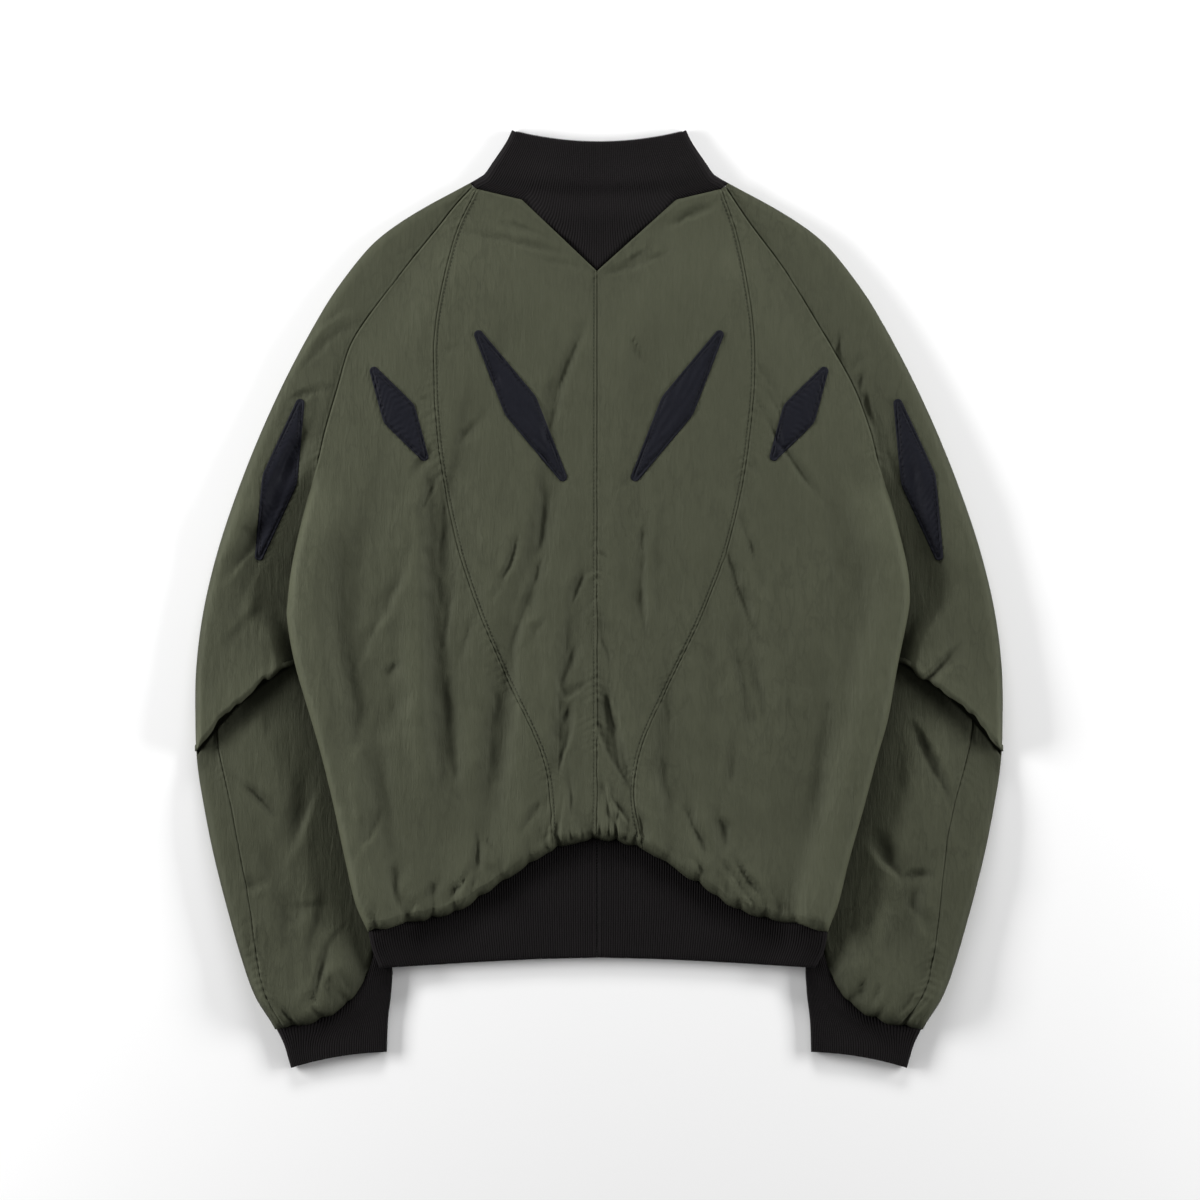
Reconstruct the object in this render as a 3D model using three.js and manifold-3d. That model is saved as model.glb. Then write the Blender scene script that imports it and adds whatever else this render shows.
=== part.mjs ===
// Bomber jacket laid flat on its front, back side up, its sleeves beside it and tucked under its edges.
// Millimetres, +Z up. The table or floor is z = 0, +Y runs towards the collar, x = 0 is the middle.
// Each piece of cloth is a wall through rows of points. The back pieces are the upper layer,
// the front pieces the lower one.
import * as THREE from 'three';
import { mergeVertices } from 'three/addons/utils/BufferGeometryUtils.js';
import Module from 'manifold-3d';

const wasm = await Module();
wasm.setup();

// Cloth thickness: the shell is nylon, light wadding and lining, the rib is a knit folded double.
const shellWall = 4;
const ribWall = 3;
const halfGap = 0.2;
const shellEdgeRadius = 8;
const ribEdgeRadius = 5;
const layerClearance = 0.3;

// Heights of the outer face of the upper layer over a lower layer that lies on the floor.
const shellLaid = 10.5;
const shellTucked = 2 * shellWall + 0.7;
const ribLaid = 7.6;

// How much fuller the back is than at its seams: not at all at the neck, and less beside the armhole seam.
const backFullness = { height: 4, fromNeck: 90, fromSeam: 55, seamShare: 0.7, startY: 330, endY: 130 };

// How far the body's edge is lifted by the sleeve that lies under it.
const sleeveLift = { height: 9, hemHeight: 7.4, startY: 105, fullY: 42, full: 16, gone: 50 };

// Centre lines.
const backSeamX = -1.8;
const zipHalfOpening = 7;

// Seam between the front and the hem rib, at the zip and at the side.
const frontHem = { innerY: -269.3, outerY: -289.4 };

// Outer edge of the sleeve, the same on both sides.
const sleeveOuterEdge = [
  { y: 366.1, x: 113.5 },
  { y: 359.9, x: 125.0 },
  { y: 346.7, x: 149.6 },
  { y: 333.5, x: 171.6 },
  { y: 320.3, x: 190.1 },
  { y: 307.1, x: 204.2 },
  { y: 280.7, x: 225.3 },
  { y: 254.3, x: 242.9 },
  { y: 201.5, x: 271.9 },
  { y: 148.7, x: 296.6 },
  { y: 95.9, x: 317.7 },
  { y: 43.1, x: 335.3 },
  { y: -9.7, x: 348.0 },
  { y: -62.5, x: 354.6 },
  { y: -115.3, x: 355.1 },
  { y: -141.7, x: 353.8 },
  { y: -168.1, x: 350.2 },
  { y: -220.9, x: 340.1 },
  { y: -273.7, x: 326.9 },
  { y: -326.5, x: 311.5 },
  { y: -352.9, x: 301.0 },
  { y: -376.0, x: 285.1 },
];

// Armhole seam from the neck to the underarm, then the body's outer edge down to the hem.
const bodyOuterEdge = [
  { y: 362.6, left: 110.9, right: 110.9 },
  { y: 346.7, left: 125.8, right: 121.4 },
  { y: 330.0, left: 139.0, right: 132.9 },
  { y: 288.6, left: 172.5, right: 163.7 },
  { y: 242.9, left: 206.8, right: 191.8 },
  { y: 220.9, left: 219.5, right: 205.0 },
  { y: 185.7, left: 230.0, right: 224.4 },
  { y: 147.0, left: 241.1, right: 238.8 },
  { y: 120.6, left: 247.3, right: 245.5 },
  { y: 84.5, left: 257.8, right: 257.4 },
  { y: 51.9, left: 265.8, right: 266.2 },
  { y: 22.9, left: 271.5, right: 272.4 },
  { y: -0.9, left: 274.1, right: 273.7 },
  { y: -16.7, left: 274.9, right: 271.6 },
  { y: -58.1, left: 267.5, right: 263.1 },
  { y: -106.5, left: 253.4, right: 254.3 },
  { y: -137.3, left: 244.6, right: 245.5 },
  { y: -180.4, left: 234.1, right: 234.1 },
  { y: -232.3, left: 223.0, right: 219.6 },
  { y: -269.3, left: 214.0, right: 210.4 },
  { y: -291.3, left: 203.3, right: 201.5 },
];

// Outer edge of the hem rib, below the body.
const hemOuterEdge = [
  { y: -291.3, left: 203.3, right: 201.5 },
  { y: -308.9, left: 199.5, right: 198.3 },
  { y: -324.7, left: 193.0, right: 190.5 },
];

// Seam between the middle back and the side back.
const sideBackSeam = [
  { y: 360.8, left: 107.4, right: 107.4 },
  { y: 326.5, left: 124.1, right: 119.7 },
  { y: 282.5, left: 136.4, right: 129.4 },
  { y: 235.8, left: 144.6, right: 136.1 },
  { y: 191.0, left: 145.2, right: 136.8 },
  { y: 147.0, left: 142.6, right: 132.9 },
  { y: 107.4, left: 137.4, right: 127.4 },
  { y: 59.8, left: 127.6, right: 117.0 },
  { y: 29.0, left: 119.4, right: 107.6 },
  { y: -22.0, left: 101.4, right: 87.0 },
  { y: -72.2, left: 79.8, right: 62.8 },
  { y: -118.8, left: 57.6, right: 41.4 },
  { y: -146.1, left: 47.5, right: 33.4 },
  { y: -180.4, left: 42.7, right: 31.2 },
  { y: -219.6, left: 41.4, right: 39.0 },
];

// Inner edge of the sleeve below the underarm, which lies under the body's edge.
const sleeveInnerEdge = [
  { y: 120.6, left: 247.3, right: 245.5 },
  { y: 91.5, left: 257.8, right: 257.4 },
  { y: 60.7, left: 266.0, right: 266.2 },
  { y: 34.3, left: 267.6, right: 268.0 },
  { y: 7.9, left: 264.5, right: 264.5 },
  { y: -31.7, left: 258.5, right: 256.0 },
  { y: -88.9, left: 245.5, right: 243.0 },
  { y: -159.3, left: 228.0, right: 228.0 },
  { y: -229.7, left: 212.5, right: 210.0 },
  { y: -278.1, left: 200.0, right: 198.0 },
  { y: -286.9, left: 195.2, right: 195.0 },
];

// Seam between the back and the hem rib, from the middle outwards. It arches up in the middle.
const hemArch = [
  { x: 0.0, y: -209.4 },
  { x: 22.0, y: -213.0 },
  { x: 41.4, y: -219.6 },
  { x: 63.4, y: -233.5 },
  { x: 93.3, y: -252.5 },
  { x: 118.8, y: -270.0 },
  { x: 140.8, y: -278.1 },
  { x: 164.6, y: -282.9 },
  { x: 192.7, y: -289.3 },
  { x: 204.0, y: -291.5 },
];

// Lower edge of the hem rib.
const hemLowerEdge = [
  { x: 0.0, y: -315.5 },
  { x: 52.8, y: -316.8 },
  { x: 113.5, y: -319.8 },
  { x: 176.0, y: -323.7 },
  { x: 194.0, y: -324.7 },
];

// Neckline corners, and the point of the rib that runs down into the back.
const neck = {
  side: { x: 113.5, y: 366.1 },
  armhole: { x: 110.9, y: 362.6 },
  sideBack: { x: 107.4, y: 360.8 },
  corner: { x: 68.0, y: 351.5 },
  point: { x: backSeamX, y: 288.6 },
  frontMiddle: { x: zipHalfOpening, y: 315.9 },
};

// The collar, above the neck: half width, and its top edge in the middle and at the corner.
const collar = {
  cornerX: 76.6, cornerY: 412.7, middleY: 402.8, frontMiddleY: 386, laid: 8.8, neckLaid: 10.4,
};
const collarWidths = [
  { v: 0, half: 1 },
  { v: 0.15, half: 0.97 },
  { v: 0.3, half: 0.955 },
  { v: 0.6, half: 0.945 },
  { v: 0.87, half: 0.943 },
  { v: 0.95, half: 0.985 },
  { v: 1, half: 1 },
];

// Sleeve rows from the neck to the cuff seam. bow bends the row down in its middle, air is the room inside,
// and seamLeft and seamRight are how far the outer seam has turned from the edge onto the upper layer.
const sleeveRows = [
  { innerY: 362.6, outerY: 366.1, bow: 0, air: 0.2 },
  { innerY: 346.7, outerY: 357.0, bow: 0, air: 0.8 },
  { innerY: 325.0, outerY: 338.0, bow: 0, air: 1.2 },
  { innerY: 288.6, outerY: 306.0, bow: 0, air: 2.4 },
  { innerY: 242.9, outerY: 273.0, bow: 0, air: 3.4 },
  { innerY: 203.0, outerY: 241.0, bow: 0, air: 4.2 },
  { innerY: 166.0, outerY: 200.0, bow: 0, air: 4.8 },
  { innerY: 140.0, outerY: 168.0, bow: 0, air: 5.2 },
  { innerY: 120.6, outerY: 143.0, bow: 0, air: 5.6 },
  { innerY: 91.5, outerY: 109.0, bow: 0, air: 6.0 },
  { innerY: 60.7, outerY: 80.0, bow: 0, air: 6.2 },
  { innerY: 34.3, outerY: 50.0, bow: 0, air: 6.2 },
  { innerY: 7.9, outerY: 18.0, bow: 0, air: 6.4 },
  { innerY: -16.0, outerY: -20.0, bow: 0, air: 7.0 },
  { innerY: -36.0, outerY: -70.0, bow: -3, air: 8.0 },
  { innerY: -46.0, outerY: -112.0, bow: -7, air: 9.4 },
  { innerY: -51.0, outerY: -134.0, bow: -9, air: 9.6 },
  { innerY: -54.0, outerY: -144.0, bow: -9, air: 1.6, seamLeft: 29, seamRight: 36 },
  { innerY: -64.0, outerY: -155.0, bow: -8, air: 1.4, seamLeft: 28.5, seamRight: 39 },
  { innerY: -88.9, outerY: -176.0, bow: -4, air: 2.8, seamLeft: 27.5, seamRight: 38.5 },
  { innerY: -124.0, outerY: -201.0, bow: 0, air: 4.4, seamLeft: 26, seamRight: 38 },
  { innerY: -159.3, outerY: -228.0, bow: 2, air: 5.4, seamLeft: 24, seamRight: 36.5 },
  { innerY: -194.0, outerY: -256.0, bow: 5, air: 5.8, seamLeft: 21.5, seamRight: 31 },
  { innerY: -224.0, outerY: -286.0, bow: 9, air: 6.2, seamLeft: 18, seamRight: 24.5 },
  { innerY: -246.0, outerY: -312.0, bow: 14, air: 6.8, seamLeft: 13, seamRight: 19.5 },
  { innerY: -262.0, outerY: -334.0, bow: 19, air: 7.2, seamLeft: 9.5, seamRight: 16 },
  { innerY: -273.0, outerY: -352.0, bow: 24, air: 7.4, seamLeft: 7.5, seamRight: 14.5 },
  { innerY: -280.0, outerY: -364.0, bow: 27, air: 7.2, seamLeft: 6.5, seamRight: 14.5 },
  { innerY: -284.4, outerY: -371.6, bow: 28.6, air: 6.0, seamLeft: 6, seamRight: 15 },
  { innerY: -286.4, outerY: -375.0, bow: 29.3, air: 4.6, seamLeft: 6, seamRight: 15.5 },
  { innerY: -286.9, outerY: -376.0, bow: 29.4, air: 3.2, seamLeft: 6, seamRight: 16 },
];

// Cuff rows from its seam to its open end.
const cuffRows = [
  { innerX: 193.9, innerY: -287.6, outerX: 284.6, outerY: -377.1, bow: 29.8 },
  { innerX: 182.6, innerY: -317.7, outerX: 280.2, outerY: -385.2, bow: 19 },
  { innerX: 182.6, innerY: -344.1, outerX: 276.6, outerY: -393.6, bow: 9 },
  { innerX: 185.6, innerY: -370.5, outerX: 273.8, outerY: -403.0, bow: 2 },
  { innerX: 186.6, innerY: -398.6, outerX: 271.0, outerY: -412.7, bow: -3 },
];

// The largest folds of the upper layer: three points along each, its half width, and its height or depth.
const folds = [
  { x1: -143, y1: 105, x2: -139, y2: -18, x3: -129, y3: -194, width: 11, height: -3.9 },
  { x1: -166, y1: 80, x2: -162, y2: -54, x3: -159, y3: -190, width: 15, height: 4.2 },
  { x1: -221, y1: -70, x2: -223, y2: -142, x3: -216, y3: -200, width: 9, height: -2.7 },
  { x1: -108, y1: -205, x2: -115, y2: -238, x3: -129, y3: -270, width: 6, height: -5.1 },
  { x1: -120, y1: -205, x2: -127, y2: -236, x3: -141, y3: -272, width: 7, height: 4.5 },
  { x1: -176, y1: -240, x2: -170, y2: -268, x3: -167, y3: -284, width: 6, height: -4.5 },
  { x1: 105, y1: -180, x2: 110, y2: -234, x3: 141, y3: -280, width: 6, height: -5.1 },
  { x1: 116, y1: -205, x2: 126, y2: -245, x3: 149, y3: -282, width: 6, height: 4.5 },
  { x1: 120, y1: -227, x2: 137, y2: -252, x3: 158, y3: -283, width: 5, height: -4.5 },
  { x1: 142, y1: 210, x2: 168, y2: 149, x3: 199, y3: 86, width: 7, height: -3.0 },
  { x1: 131, y1: 132, x2: 148, y2: 52, x3: 156, y3: -30, width: 8, height: -3.3 },
  { x1: 1, y1: -70, x2: 13, y2: -137, x3: 24, y3: -205, width: 7, height: -3.0 },
  { x1: -247, y1: 158, x2: -279, y2: 87, x3: -300, y3: 20, width: 12, height: -5.4 },
  { x1: -288, y1: 140, x2: -312, y2: 70, x3: -330, y3: -10, width: 14, height: 3.0 },
  { x1: 250, y1: 150, x2: 280, y2: 80, x3: 296, y3: 10, width: 12, height: -4.5 },
  { x1: -238, y1: -146, x2: -253, y2: -187, x3: -272, y3: -224, width: 8, height: -6.0 },
  { x1: -325, y1: -160, x2: -291, y2: -184, x3: -268, y3: -222, width: 8, height: -3.6 },
  { x1: -217, y1: -290, x2: -244, y2: -316, x3: -252, y3: -346, width: 8, height: -6.0 },
  { x1: 225, y1: -195, x2: 252, y2: -228, x3: 274, y3: -247, width: 8, height: -6.3 },
  { x1: 229, y1: -222, x2: 220, y2: -252, x3: 216, y3: -300, width: 7, height: -5.4 },
  { x1: 268, y1: -112, x2: 292, y2: -139, x3: 311, y3: -182, width: 6, height: -3.0 },
  { x1: 278, y1: -82, x2: 297, y2: -61, x3: 316, y3: -38, width: 9, height: -3.9 },
];

// Gathers where the shell meets a rib: small pleats, and wider puffs that carry them.
const gathers = { pleat: 19, pleatHeight: 1.7, puff: 52, puffHeight: 2.2, reach: 34, bubble: 3.2 };

// Plain lozenges laid on the upper back and the upper sleeves: their two ends and their widest part.
const patch = { thickness: 1, halfWidth: 16, clearance: 0.3 };
const patchPlaces = [
  { name: 'middle', panel: 'back_middle', x1: 108, y1: 236, x2: 30, y2: 104 },
  { name: 'side', panel: 'back_side', x1: 200, y1: 204, x2: 152, y2: 122 },
  { name: 'sleeve', panel: 'sleeve_back', x1: 262, y1: 176, x2: 300, y2: 34 },
];

// The zip, which lies under the middle of the front.
const zip = {
  topY: 379, bottomY: -314, tapeInner: 2.7, tapeLow: 3.0, tapeHigh: 3.8,
  chainHalf: 2.3, chainLow: 2.5, chainHigh: 4.3,
};
const slider = {
  y: 366, halfLength: 5, halfWidth: 3.6, outerLow: 1.6, outerHigh: 2.2, innerLow: 4.6, innerHigh: 5.2,
  earThickness: 0.8, earGap: 0.3, earHalfLength: 1.3, pinZ: 0.9, holeRadius: 0.55,
};
const pull = {
  length: 24, halfWidth: 2.4, stemHalf: 1.3, stemLength: 5, thickness: 0.8, pinRadius: 0.25, behindPin: 0.4,
  holeRadius: 1.4, holeFromEnd: 3.5,
};

const colours = { shell: 0x3f4233, patch: 0x17181d, rib: 0x161515, metal: 0x4a4a46 };

const clamp01 = (u) => Math.min(1, Math.max(0, u));
const smooth = (u) => { const c = clamp01(u); return c * c * (3 - 2 * c); };
const lerp = (a, b, u) => a + (b - a) * u;
const sideSign = (side) => (side === 'left' ? -1 : 1);

// A smooth value read from a table of rows: each row has a key column and a value column.
function readTable(rows, key, value, at) {
  const rising = rows[rows.length - 1][key] > rows[0][key];
  let i = 0;
  while (i < rows.length - 2 && (rising ? at > rows[i + 1][key] : at < rows[i + 1][key])) i += 1;
  const slope = (j) => {
    const low = rows[Math.max(0, j - 1)];
    const high = rows[Math.min(rows.length - 1, j + 1)];
    return (high[value] - low[value]) / (high[key] - low[key]);
  };
  const h = rows[i + 1][key] - rows[i][key];
  const u = clamp01((at - rows[i][key]) / h);
  const w = 1 - u;
  return rows[i][value] * (1 + 2 * u) * w * w + rows[i + 1][value] * u * u * (3 - 2 * u)
    + h * slope(i) * u * w * w - h * slope(i + 1) * u * u * w;
}

const bodyEdgeX = (side, y) => (y > -291.3
  ? readTable(bodyOuterEdge, 'y', side, y)
  : readTable(hemOuterEdge, 'y', side, y));
const hemSeamY = (x) => readTable(hemArch, 'x', 'y', Math.abs(x));
const hemLowerY = (x) => readTable(hemLowerEdge, 'x', 'y', Math.abs(x));

// Lift of the body and hem over the tucked edge of a sleeve.
function bodyLift(side, x, y) {
  const { height, hemHeight, startY, fullY, full, gone } = sleeveLift;
  const fromEdge = bodyEdgeX(side, y) - Math.abs(x);
  const along = height * smooth((startY - y) / (startY - fullY));
  const atHem = lerp(along, hemHeight, smooth((-285 - y) / 35));
  return (y < -285 ? atHem : along) * (1 - smooth((fromEdge - full) / (gone - full)));
}

// Height of a fold that runs through three points, fading out at its ends.
function foldHeight(fold, x, y) {
  let best = Infinity;
  let along = 0;
  const legs = [
    [fold.x1, fold.y1, fold.x2, fold.y2, 0],
    [fold.x2, fold.y2, fold.x3, fold.y3, 0.5],
  ];
  for (const [ax, ay, bx, by, start] of legs) {
    const dx = bx - ax;
    const dy = by - ay;
    const u = clamp01(((x - ax) * dx + (y - ay) * dy) / (dx * dx + dy * dy));
    const away = Math.hypot(x - ax - u * dx, y - ay - u * dy);
    if (away < best) {
      best = away;
      along = start + u / 2;
    }
  }
  const across = best / fold.width;
  return fold.height * Math.exp(-across * across) * smooth(along * 5) * smooth((1 - along) * 5);
}

const allFolds = (x, y) => folds.reduce((sum, fold) => sum + foldHeight(fold, x, y), 0);

// Pleats and puffs beside a gathered seam, from the place along it and the distance from it.
function gatherHeight(along, away) {
  const { pleat, pleatHeight, puff, puffHeight, reach, bubble } = gathers;
  const wander = 1.3 * Math.sin(along / 31) + 0.7 * Math.sin(along / 13 + 1);
  const pleats = pleatHeight * Math.sin((2 * Math.PI * along) / pleat + wander);
  const puffs = puffHeight * Math.sin((2 * Math.PI * along) / puff + 1.4 * Math.sin(along / 71));
  return (pleats * Math.exp(-away / (reach / 2)) + puffs * Math.exp(-away / reach)) * smooth(away / 10)
    + bubble * Math.exp(-(((away - 18) / reach) ** 2));
}

// The seam between the back and the collar: a flat stretch on each side, then down to the point.
function necklineY(x) {
  const { side, sideBack, corner, point } = neck;
  const reach = Math.abs(x);
  if (reach > sideBack.x) return lerp(sideBack.y, side.y, (reach - sideBack.x) / (side.x - sideBack.x));
  if (reach > corner.x) return lerp(corner.y, sideBack.y, (reach - corner.x) / (sideBack.x - corner.x));
  const run = Math.sign(x - backSeamX) * corner.x - backSeamX;
  return lerp(point.y, corner.y, (x - backSeamX) / (run || 1));
}

function fullnessAt(x, y) {
  const { height, fromNeck, fromSeam, seamShare, startY, endY } = backFullness;
  const fromEdge = bodyEdgeX(x < 0 ? 'left' : 'right', y) - Math.abs(x);
  const besideSeam = lerp(seamShare * smooth((startY - y) / (startY - endY)), 1, smooth((118 - y) / 40));
  const share = lerp(besideSeam, 1, smooth(fromEdge / fromSeam));
  return height * share * smooth((necklineY(x) - y) / fromNeck);
}

// Outer height of the upper layer of the body over its lower layer.
function backHeight(x, y) {
  const aboveHem = Math.max(0, y - hemSeamY(x));
  return shellLaid + 0.8 + fullnessAt(x, y) + allFolds(x, y) + gatherHeight(x, aboveHem);
}

// Outer height of the upper layer of a sleeve. Near the body's edge it lies low, to pass under it.
function sleeveHeight(side, x, y, air, toCuff) {
  const outside = Math.abs(x) - bodyEdgeX(side, Math.max(y, -324));
  const free = lerp(1, smooth((outside - 0.5) / 18), smooth((118 - y) / 40));
  const gathered = gatherHeight(x + y, toCuff) * smooth((90 - toCuff) / 30);
  const full = 2 * shellWall + 0.6 + air + allFolds(x, y) + gathered;
  return lerp(shellTucked, Math.max(full, shellTucked), free);
}

// How far round the edge a point is: 0 at the very edge, 1 on the flat. round 0 leaves the edge square.
function edgeTurn(distance, radius, round) {
  const end = Math.sin((Math.PI / 2) * round);
  const c = end - distance / radius;
  return c <= 0 ? { up: 1, out: 0 } : { up: Math.sqrt(1 - Math.min(1, c) ** 2), out: Math.min(1, c) };
}

// Distances across a row: closer together where its edges turn down.
function stations(row) {
  const { width, middle } = row;
  const radius = Math.min(row.radius, 0.3 * width);
  const turns = [0, 0.12, 0.45, 1];
  const start = turns.map((u) => u * radius);
  const end = turns.map((u) => width - u * radius).reverse();
  const between = [];
  for (let i = 1; i <= middle; i += 1) between.push(lerp(radius, width - radius, i / (middle + 1)));
  return [...start, ...between, ...end];
}

// Distances across a row of the body: close together where the sleeve under its edge lifts it.
const liftStations = [50, 42, 33, 24, 16, 8, 3.6, 1, 0];
function bodyStations(row, between) {
  if (row.width < 90) return stations(row);
  const inner = [];
  for (let i = 0; i < between; i += 1) inner.push(((row.width - 50) * i) / between);
  return [...inner, ...liftStations.map((distance) => row.width - distance)];
}

// One point of a wall. The outer face bends to the edge height at each rounded edge, the inner face follows.
function wallPoint(row, distance, upper) {
  const u = distance / row.width;
  const bow = 4 * u * (1 - u);
  const shape = row.shape ? row.shape(u) : [0, 0];
  const x = lerp(row.a[0], row.b[0], u) + row.bowX * bow + shape[0];
  const y = lerp(row.a[1], row.b[1], u) + row.bowY * bow + shape[1];
  const turnA = edgeTurn(distance, row.radius, row.roundA);
  const turnB = edgeTurn(row.width - distance, row.radius, row.roundB);
  const up = turnA.up * turnB.up * (upper ? row.rollUp : 1);
  const rollOut = upper ? row.rollOut : 0;
  const inX = row.wall * (row.alongX * (turnA.out - turnB.out) + row.upX * rollOut);
  const inY = row.wall * (row.alongY * (turnA.out - turnB.out) + row.upY * rollOut);
  const floor = row.floorAt(x, y);
  const edge = row.wall + 0.35 + (upper ? 1 : -1) * (layerClearance / 2 + 0.02);
  const top = upper ? row.topAt(x, y, u) : 0;
  const outerZ = upper ? floor + edge + (top - edge) * up : floor + edge * (1 - up);
  const innerZ = outerZ + (upper ? -1 : 1) * row.wall * up;
  return { outer: [x, y, outerZ], inner: [x + inX, y + inY, innerZ], key: u };
}

function makeRow({
  a, b, bow = 0, radius = shellEdgeRadius, roundA = 0, roundB = 0, wall = shellWall,
  rollUp = 1, rollOut = 0, floorAt = () => 0, topAt = () => shellLaid, shape = null, middle = 5, between = 0,
}) {
  const dx = b[0] - a[0];
  const dy = b[1] - a[1];
  const width = Math.hypot(dx, dy);
  const downSign = dx > 0 ? 1 : -1;
  const upX = (-dy / width) * downSign;
  const upY = (dx / width) * downSign;
  return {
    a, b, width, wall, shape, middle, between, roundA, roundB, rollUp, rollOut, floorAt, topAt,
    radius, alongX: dx / width, alongY: dy / width, upX, upY, bowX: -upX * bow, bowY: -upY * bow,
  };
}

// Joins rows of points, which may hold different numbers of them, into one closed wall.
function wallSolid(rows, closed = false) {
  const positions = [];
  const index = rows.map((row) => row.map((point) => {
    positions.push(...point.outer, ...point.inner);
    return positions.length / 3 - 2;
  }));
  const triangles = [];
  const both = (a, b, c) => triangles.push(a, b, c, a + 1, c + 1, b + 1);
  const border = (a, b) => triangles.push(a, a + 1, b + 1, a, b + 1, b);
  for (let r = 0; r < rows.length - 1; r += 1) {
    const upperRow = index[r];
    const lowerRow = index[r + 1];
    const keysUp = rows[r].map((p) => p.key);
    const keysLow = rows[r + 1].map((p) => p.key);
    let i = 0;
    let j = 0;
    while (i < upperRow.length - 1 || j < lowerRow.length - 1) {
      const nextUp = i < upperRow.length - 1 ? keysUp[i] + keysUp[i + 1] : Infinity;
      const nextLow = j < lowerRow.length - 1 ? keysLow[j] + keysLow[j + 1] : Infinity;
      if (nextUp < nextLow) {
        both(upperRow[i], lowerRow[j], upperRow[i + 1]);
        i += 1;
      } else {
        both(upperRow[i], lowerRow[j], lowerRow[j + 1]);
        j += 1;
      }
    }
    if (closed) {
      both(upperRow[i], lowerRow[j], upperRow[0]);
      both(lowerRow[j], lowerRow[0], upperRow[0]);
    } else {
      border(upperRow[0], lowerRow[0]);
      border(lowerRow[j], upperRow[i]);
    }
  }
  const top = index[0];
  const bottom = index[index.length - 1];
  const turns = closed ? 0 : 1;
  for (let i = 0; i < top.length - turns; i += 1) border(top[(i + 1) % top.length], top[i]);
  for (let i = 0; i < bottom.length - turns; i += 1) border(bottom[i], bottom[(i + 1) % bottom.length]);
  return { positions, triangles };
}

function signedVolume({ positions, triangles }) {
  const p = (i) => new THREE.Vector3(positions[3 * i], positions[3 * i + 1], positions[3 * i + 2]);
  let sum = 0;
  for (let i = 0; i < triangles.length; i += 3) {
    sum += p(triangles[i]).dot(p(triangles[i + 1]).cross(p(triangles[i + 2])));
  }
  return sum;
}

function solidGeometry(solid) {
  const { positions, triangles } = solid;
  const facing = triangles.slice();
  if (signedVolume(solid) < 0) {
    for (let i = 0; i < facing.length; i += 3) {
      [facing[i + 1], facing[i + 2]] = [facing[i + 2], facing[i + 1]];
    }
  }
  const geometry = new THREE.BufferGeometry();
  geometry.setAttribute('position', new THREE.Float32BufferAttribute(positions, 3));
  geometry.setIndex(facing);
  return geometry;
}

const materials = {
  shell: new THREE.MeshStandardMaterial({ color: colours.shell, roughness: 0.62, metalness: 0 }),
  patch: new THREE.MeshStandardMaterial({ color: colours.patch, roughness: 0.7, metalness: 0 }),
  rib: new THREE.MeshStandardMaterial({ color: colours.rib, roughness: 0.95, metalness: 0 }),
  tape: new THREE.MeshStandardMaterial({ color: colours.rib, roughness: 0.9, metalness: 0 }),
  metal: new THREE.MeshStandardMaterial({ color: colours.metal, roughness: 0.35, metalness: 1 }),
};

const jacket = new THREE.Group();

function addPiece(name, geometry, material) {
  geometry.computeVertexNormals();
  const mesh = new THREE.Mesh(geometry, materials[material]);
  mesh.name = name;
  jacket.add(mesh);
  return mesh;
}

// Draws the ends of a wall back, so that neighbouring pieces keep their gap.
function drawBack(rows) {
  const nudge = (point, towards, by) => {
    const gapX = towards.outer[0] - point.outer[0];
    const gapY = towards.outer[1] - point.outer[1];
    const length = Math.hypot(gapX, gapY) || 1;
    const shiftX = (gapX / length) * by;
    const shiftY = (gapY / length) * by;
    point.outer = [point.outer[0] + shiftX, point.outer[1] + shiftY, point.outer[2]];
    point.inner = [point.inner[0] + shiftX, point.inner[1] + shiftY, point.inner[2]];
  };
  for (const row of rows) {
    nudge(row[0], row[1], halfGap);
    nudge(row[row.length - 1], row[row.length - 2], halfGap);
  }
  const last = rows.length - 1;
  rows[0].forEach((point, i) => nudge(point, rows[1][Math.min(i, rows[1].length - 1)], halfGap));
  rows[last].forEach((point, i) => {
    const nearest = rows[last - 1].reduce((best, other) => (
      Math.abs(other.key - point.key) < Math.abs(best.key - point.key) ? other : best));
    nudge(point, nearest, halfGap);
  });
  return rows;
}

const distancesOf = (row) => {
  if (row.shares) return row.shares.map((u) => u * row.width);
  return row.between ? bodyStations(row, row.between) : stations(row);
};
const pointsOf = (row, upper) => distancesOf(row).map((distance) => wallPoint(row, distance, upper));

const panelWall = (rows, upper) => wallSolid(drawBack(rows.map((row) => pointsOf(row, upper))));

// Side back: from the side back seam out to the armhole, then to the body's edge.
const sideRows = [
  { innerY: 360.8, outerY: 362.6 },
  { innerY: 344.0, outerY: 346.7 },
  { innerY: 323.0, outerY: 325.0 },
  { innerY: 287.0, outerY: 288.6 },
  { innerY: 242.0, outerY: 242.9 },
  { innerY: 203.0, outerY: 203.0 },
  { innerY: 166.0, outerY: 166.0 },
  { innerY: 140.0, outerY: 140.0 },
  { innerY: 119.0, outerY: 120.6 },
  { innerY: 92.0, outerY: 91.5 },
  { innerY: 62.0, outerY: 60.7 },
  { innerY: 34.0, outerY: 34.3 },
  { innerY: 6.0, outerY: 7.9 },
  { innerY: -24.0, outerY: -24.0 },
  { innerY: -54.0, outerY: -58.0 },
  { innerY: -84.0, outerY: -94.0 },
  { innerY: -112.0, outerY: -130.0 },
  { innerY: -136.0, outerY: -165.0 },
  { innerY: -158.0, outerY: -198.0 },
  { innerY: -176.0, outerY: -226.0 },
  { innerY: -190.0, outerY: -248.0 },
  { innerY: -201.0, outerY: -265.0 },
  { innerY: -209.0, outerY: -277.0 },
  { innerY: -215.0, outerY: -285.0 },
  { innerY: -218.0, outerY: -289.6 },
  { innerY: -219.6, outerY: -291.3 },
];
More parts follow.
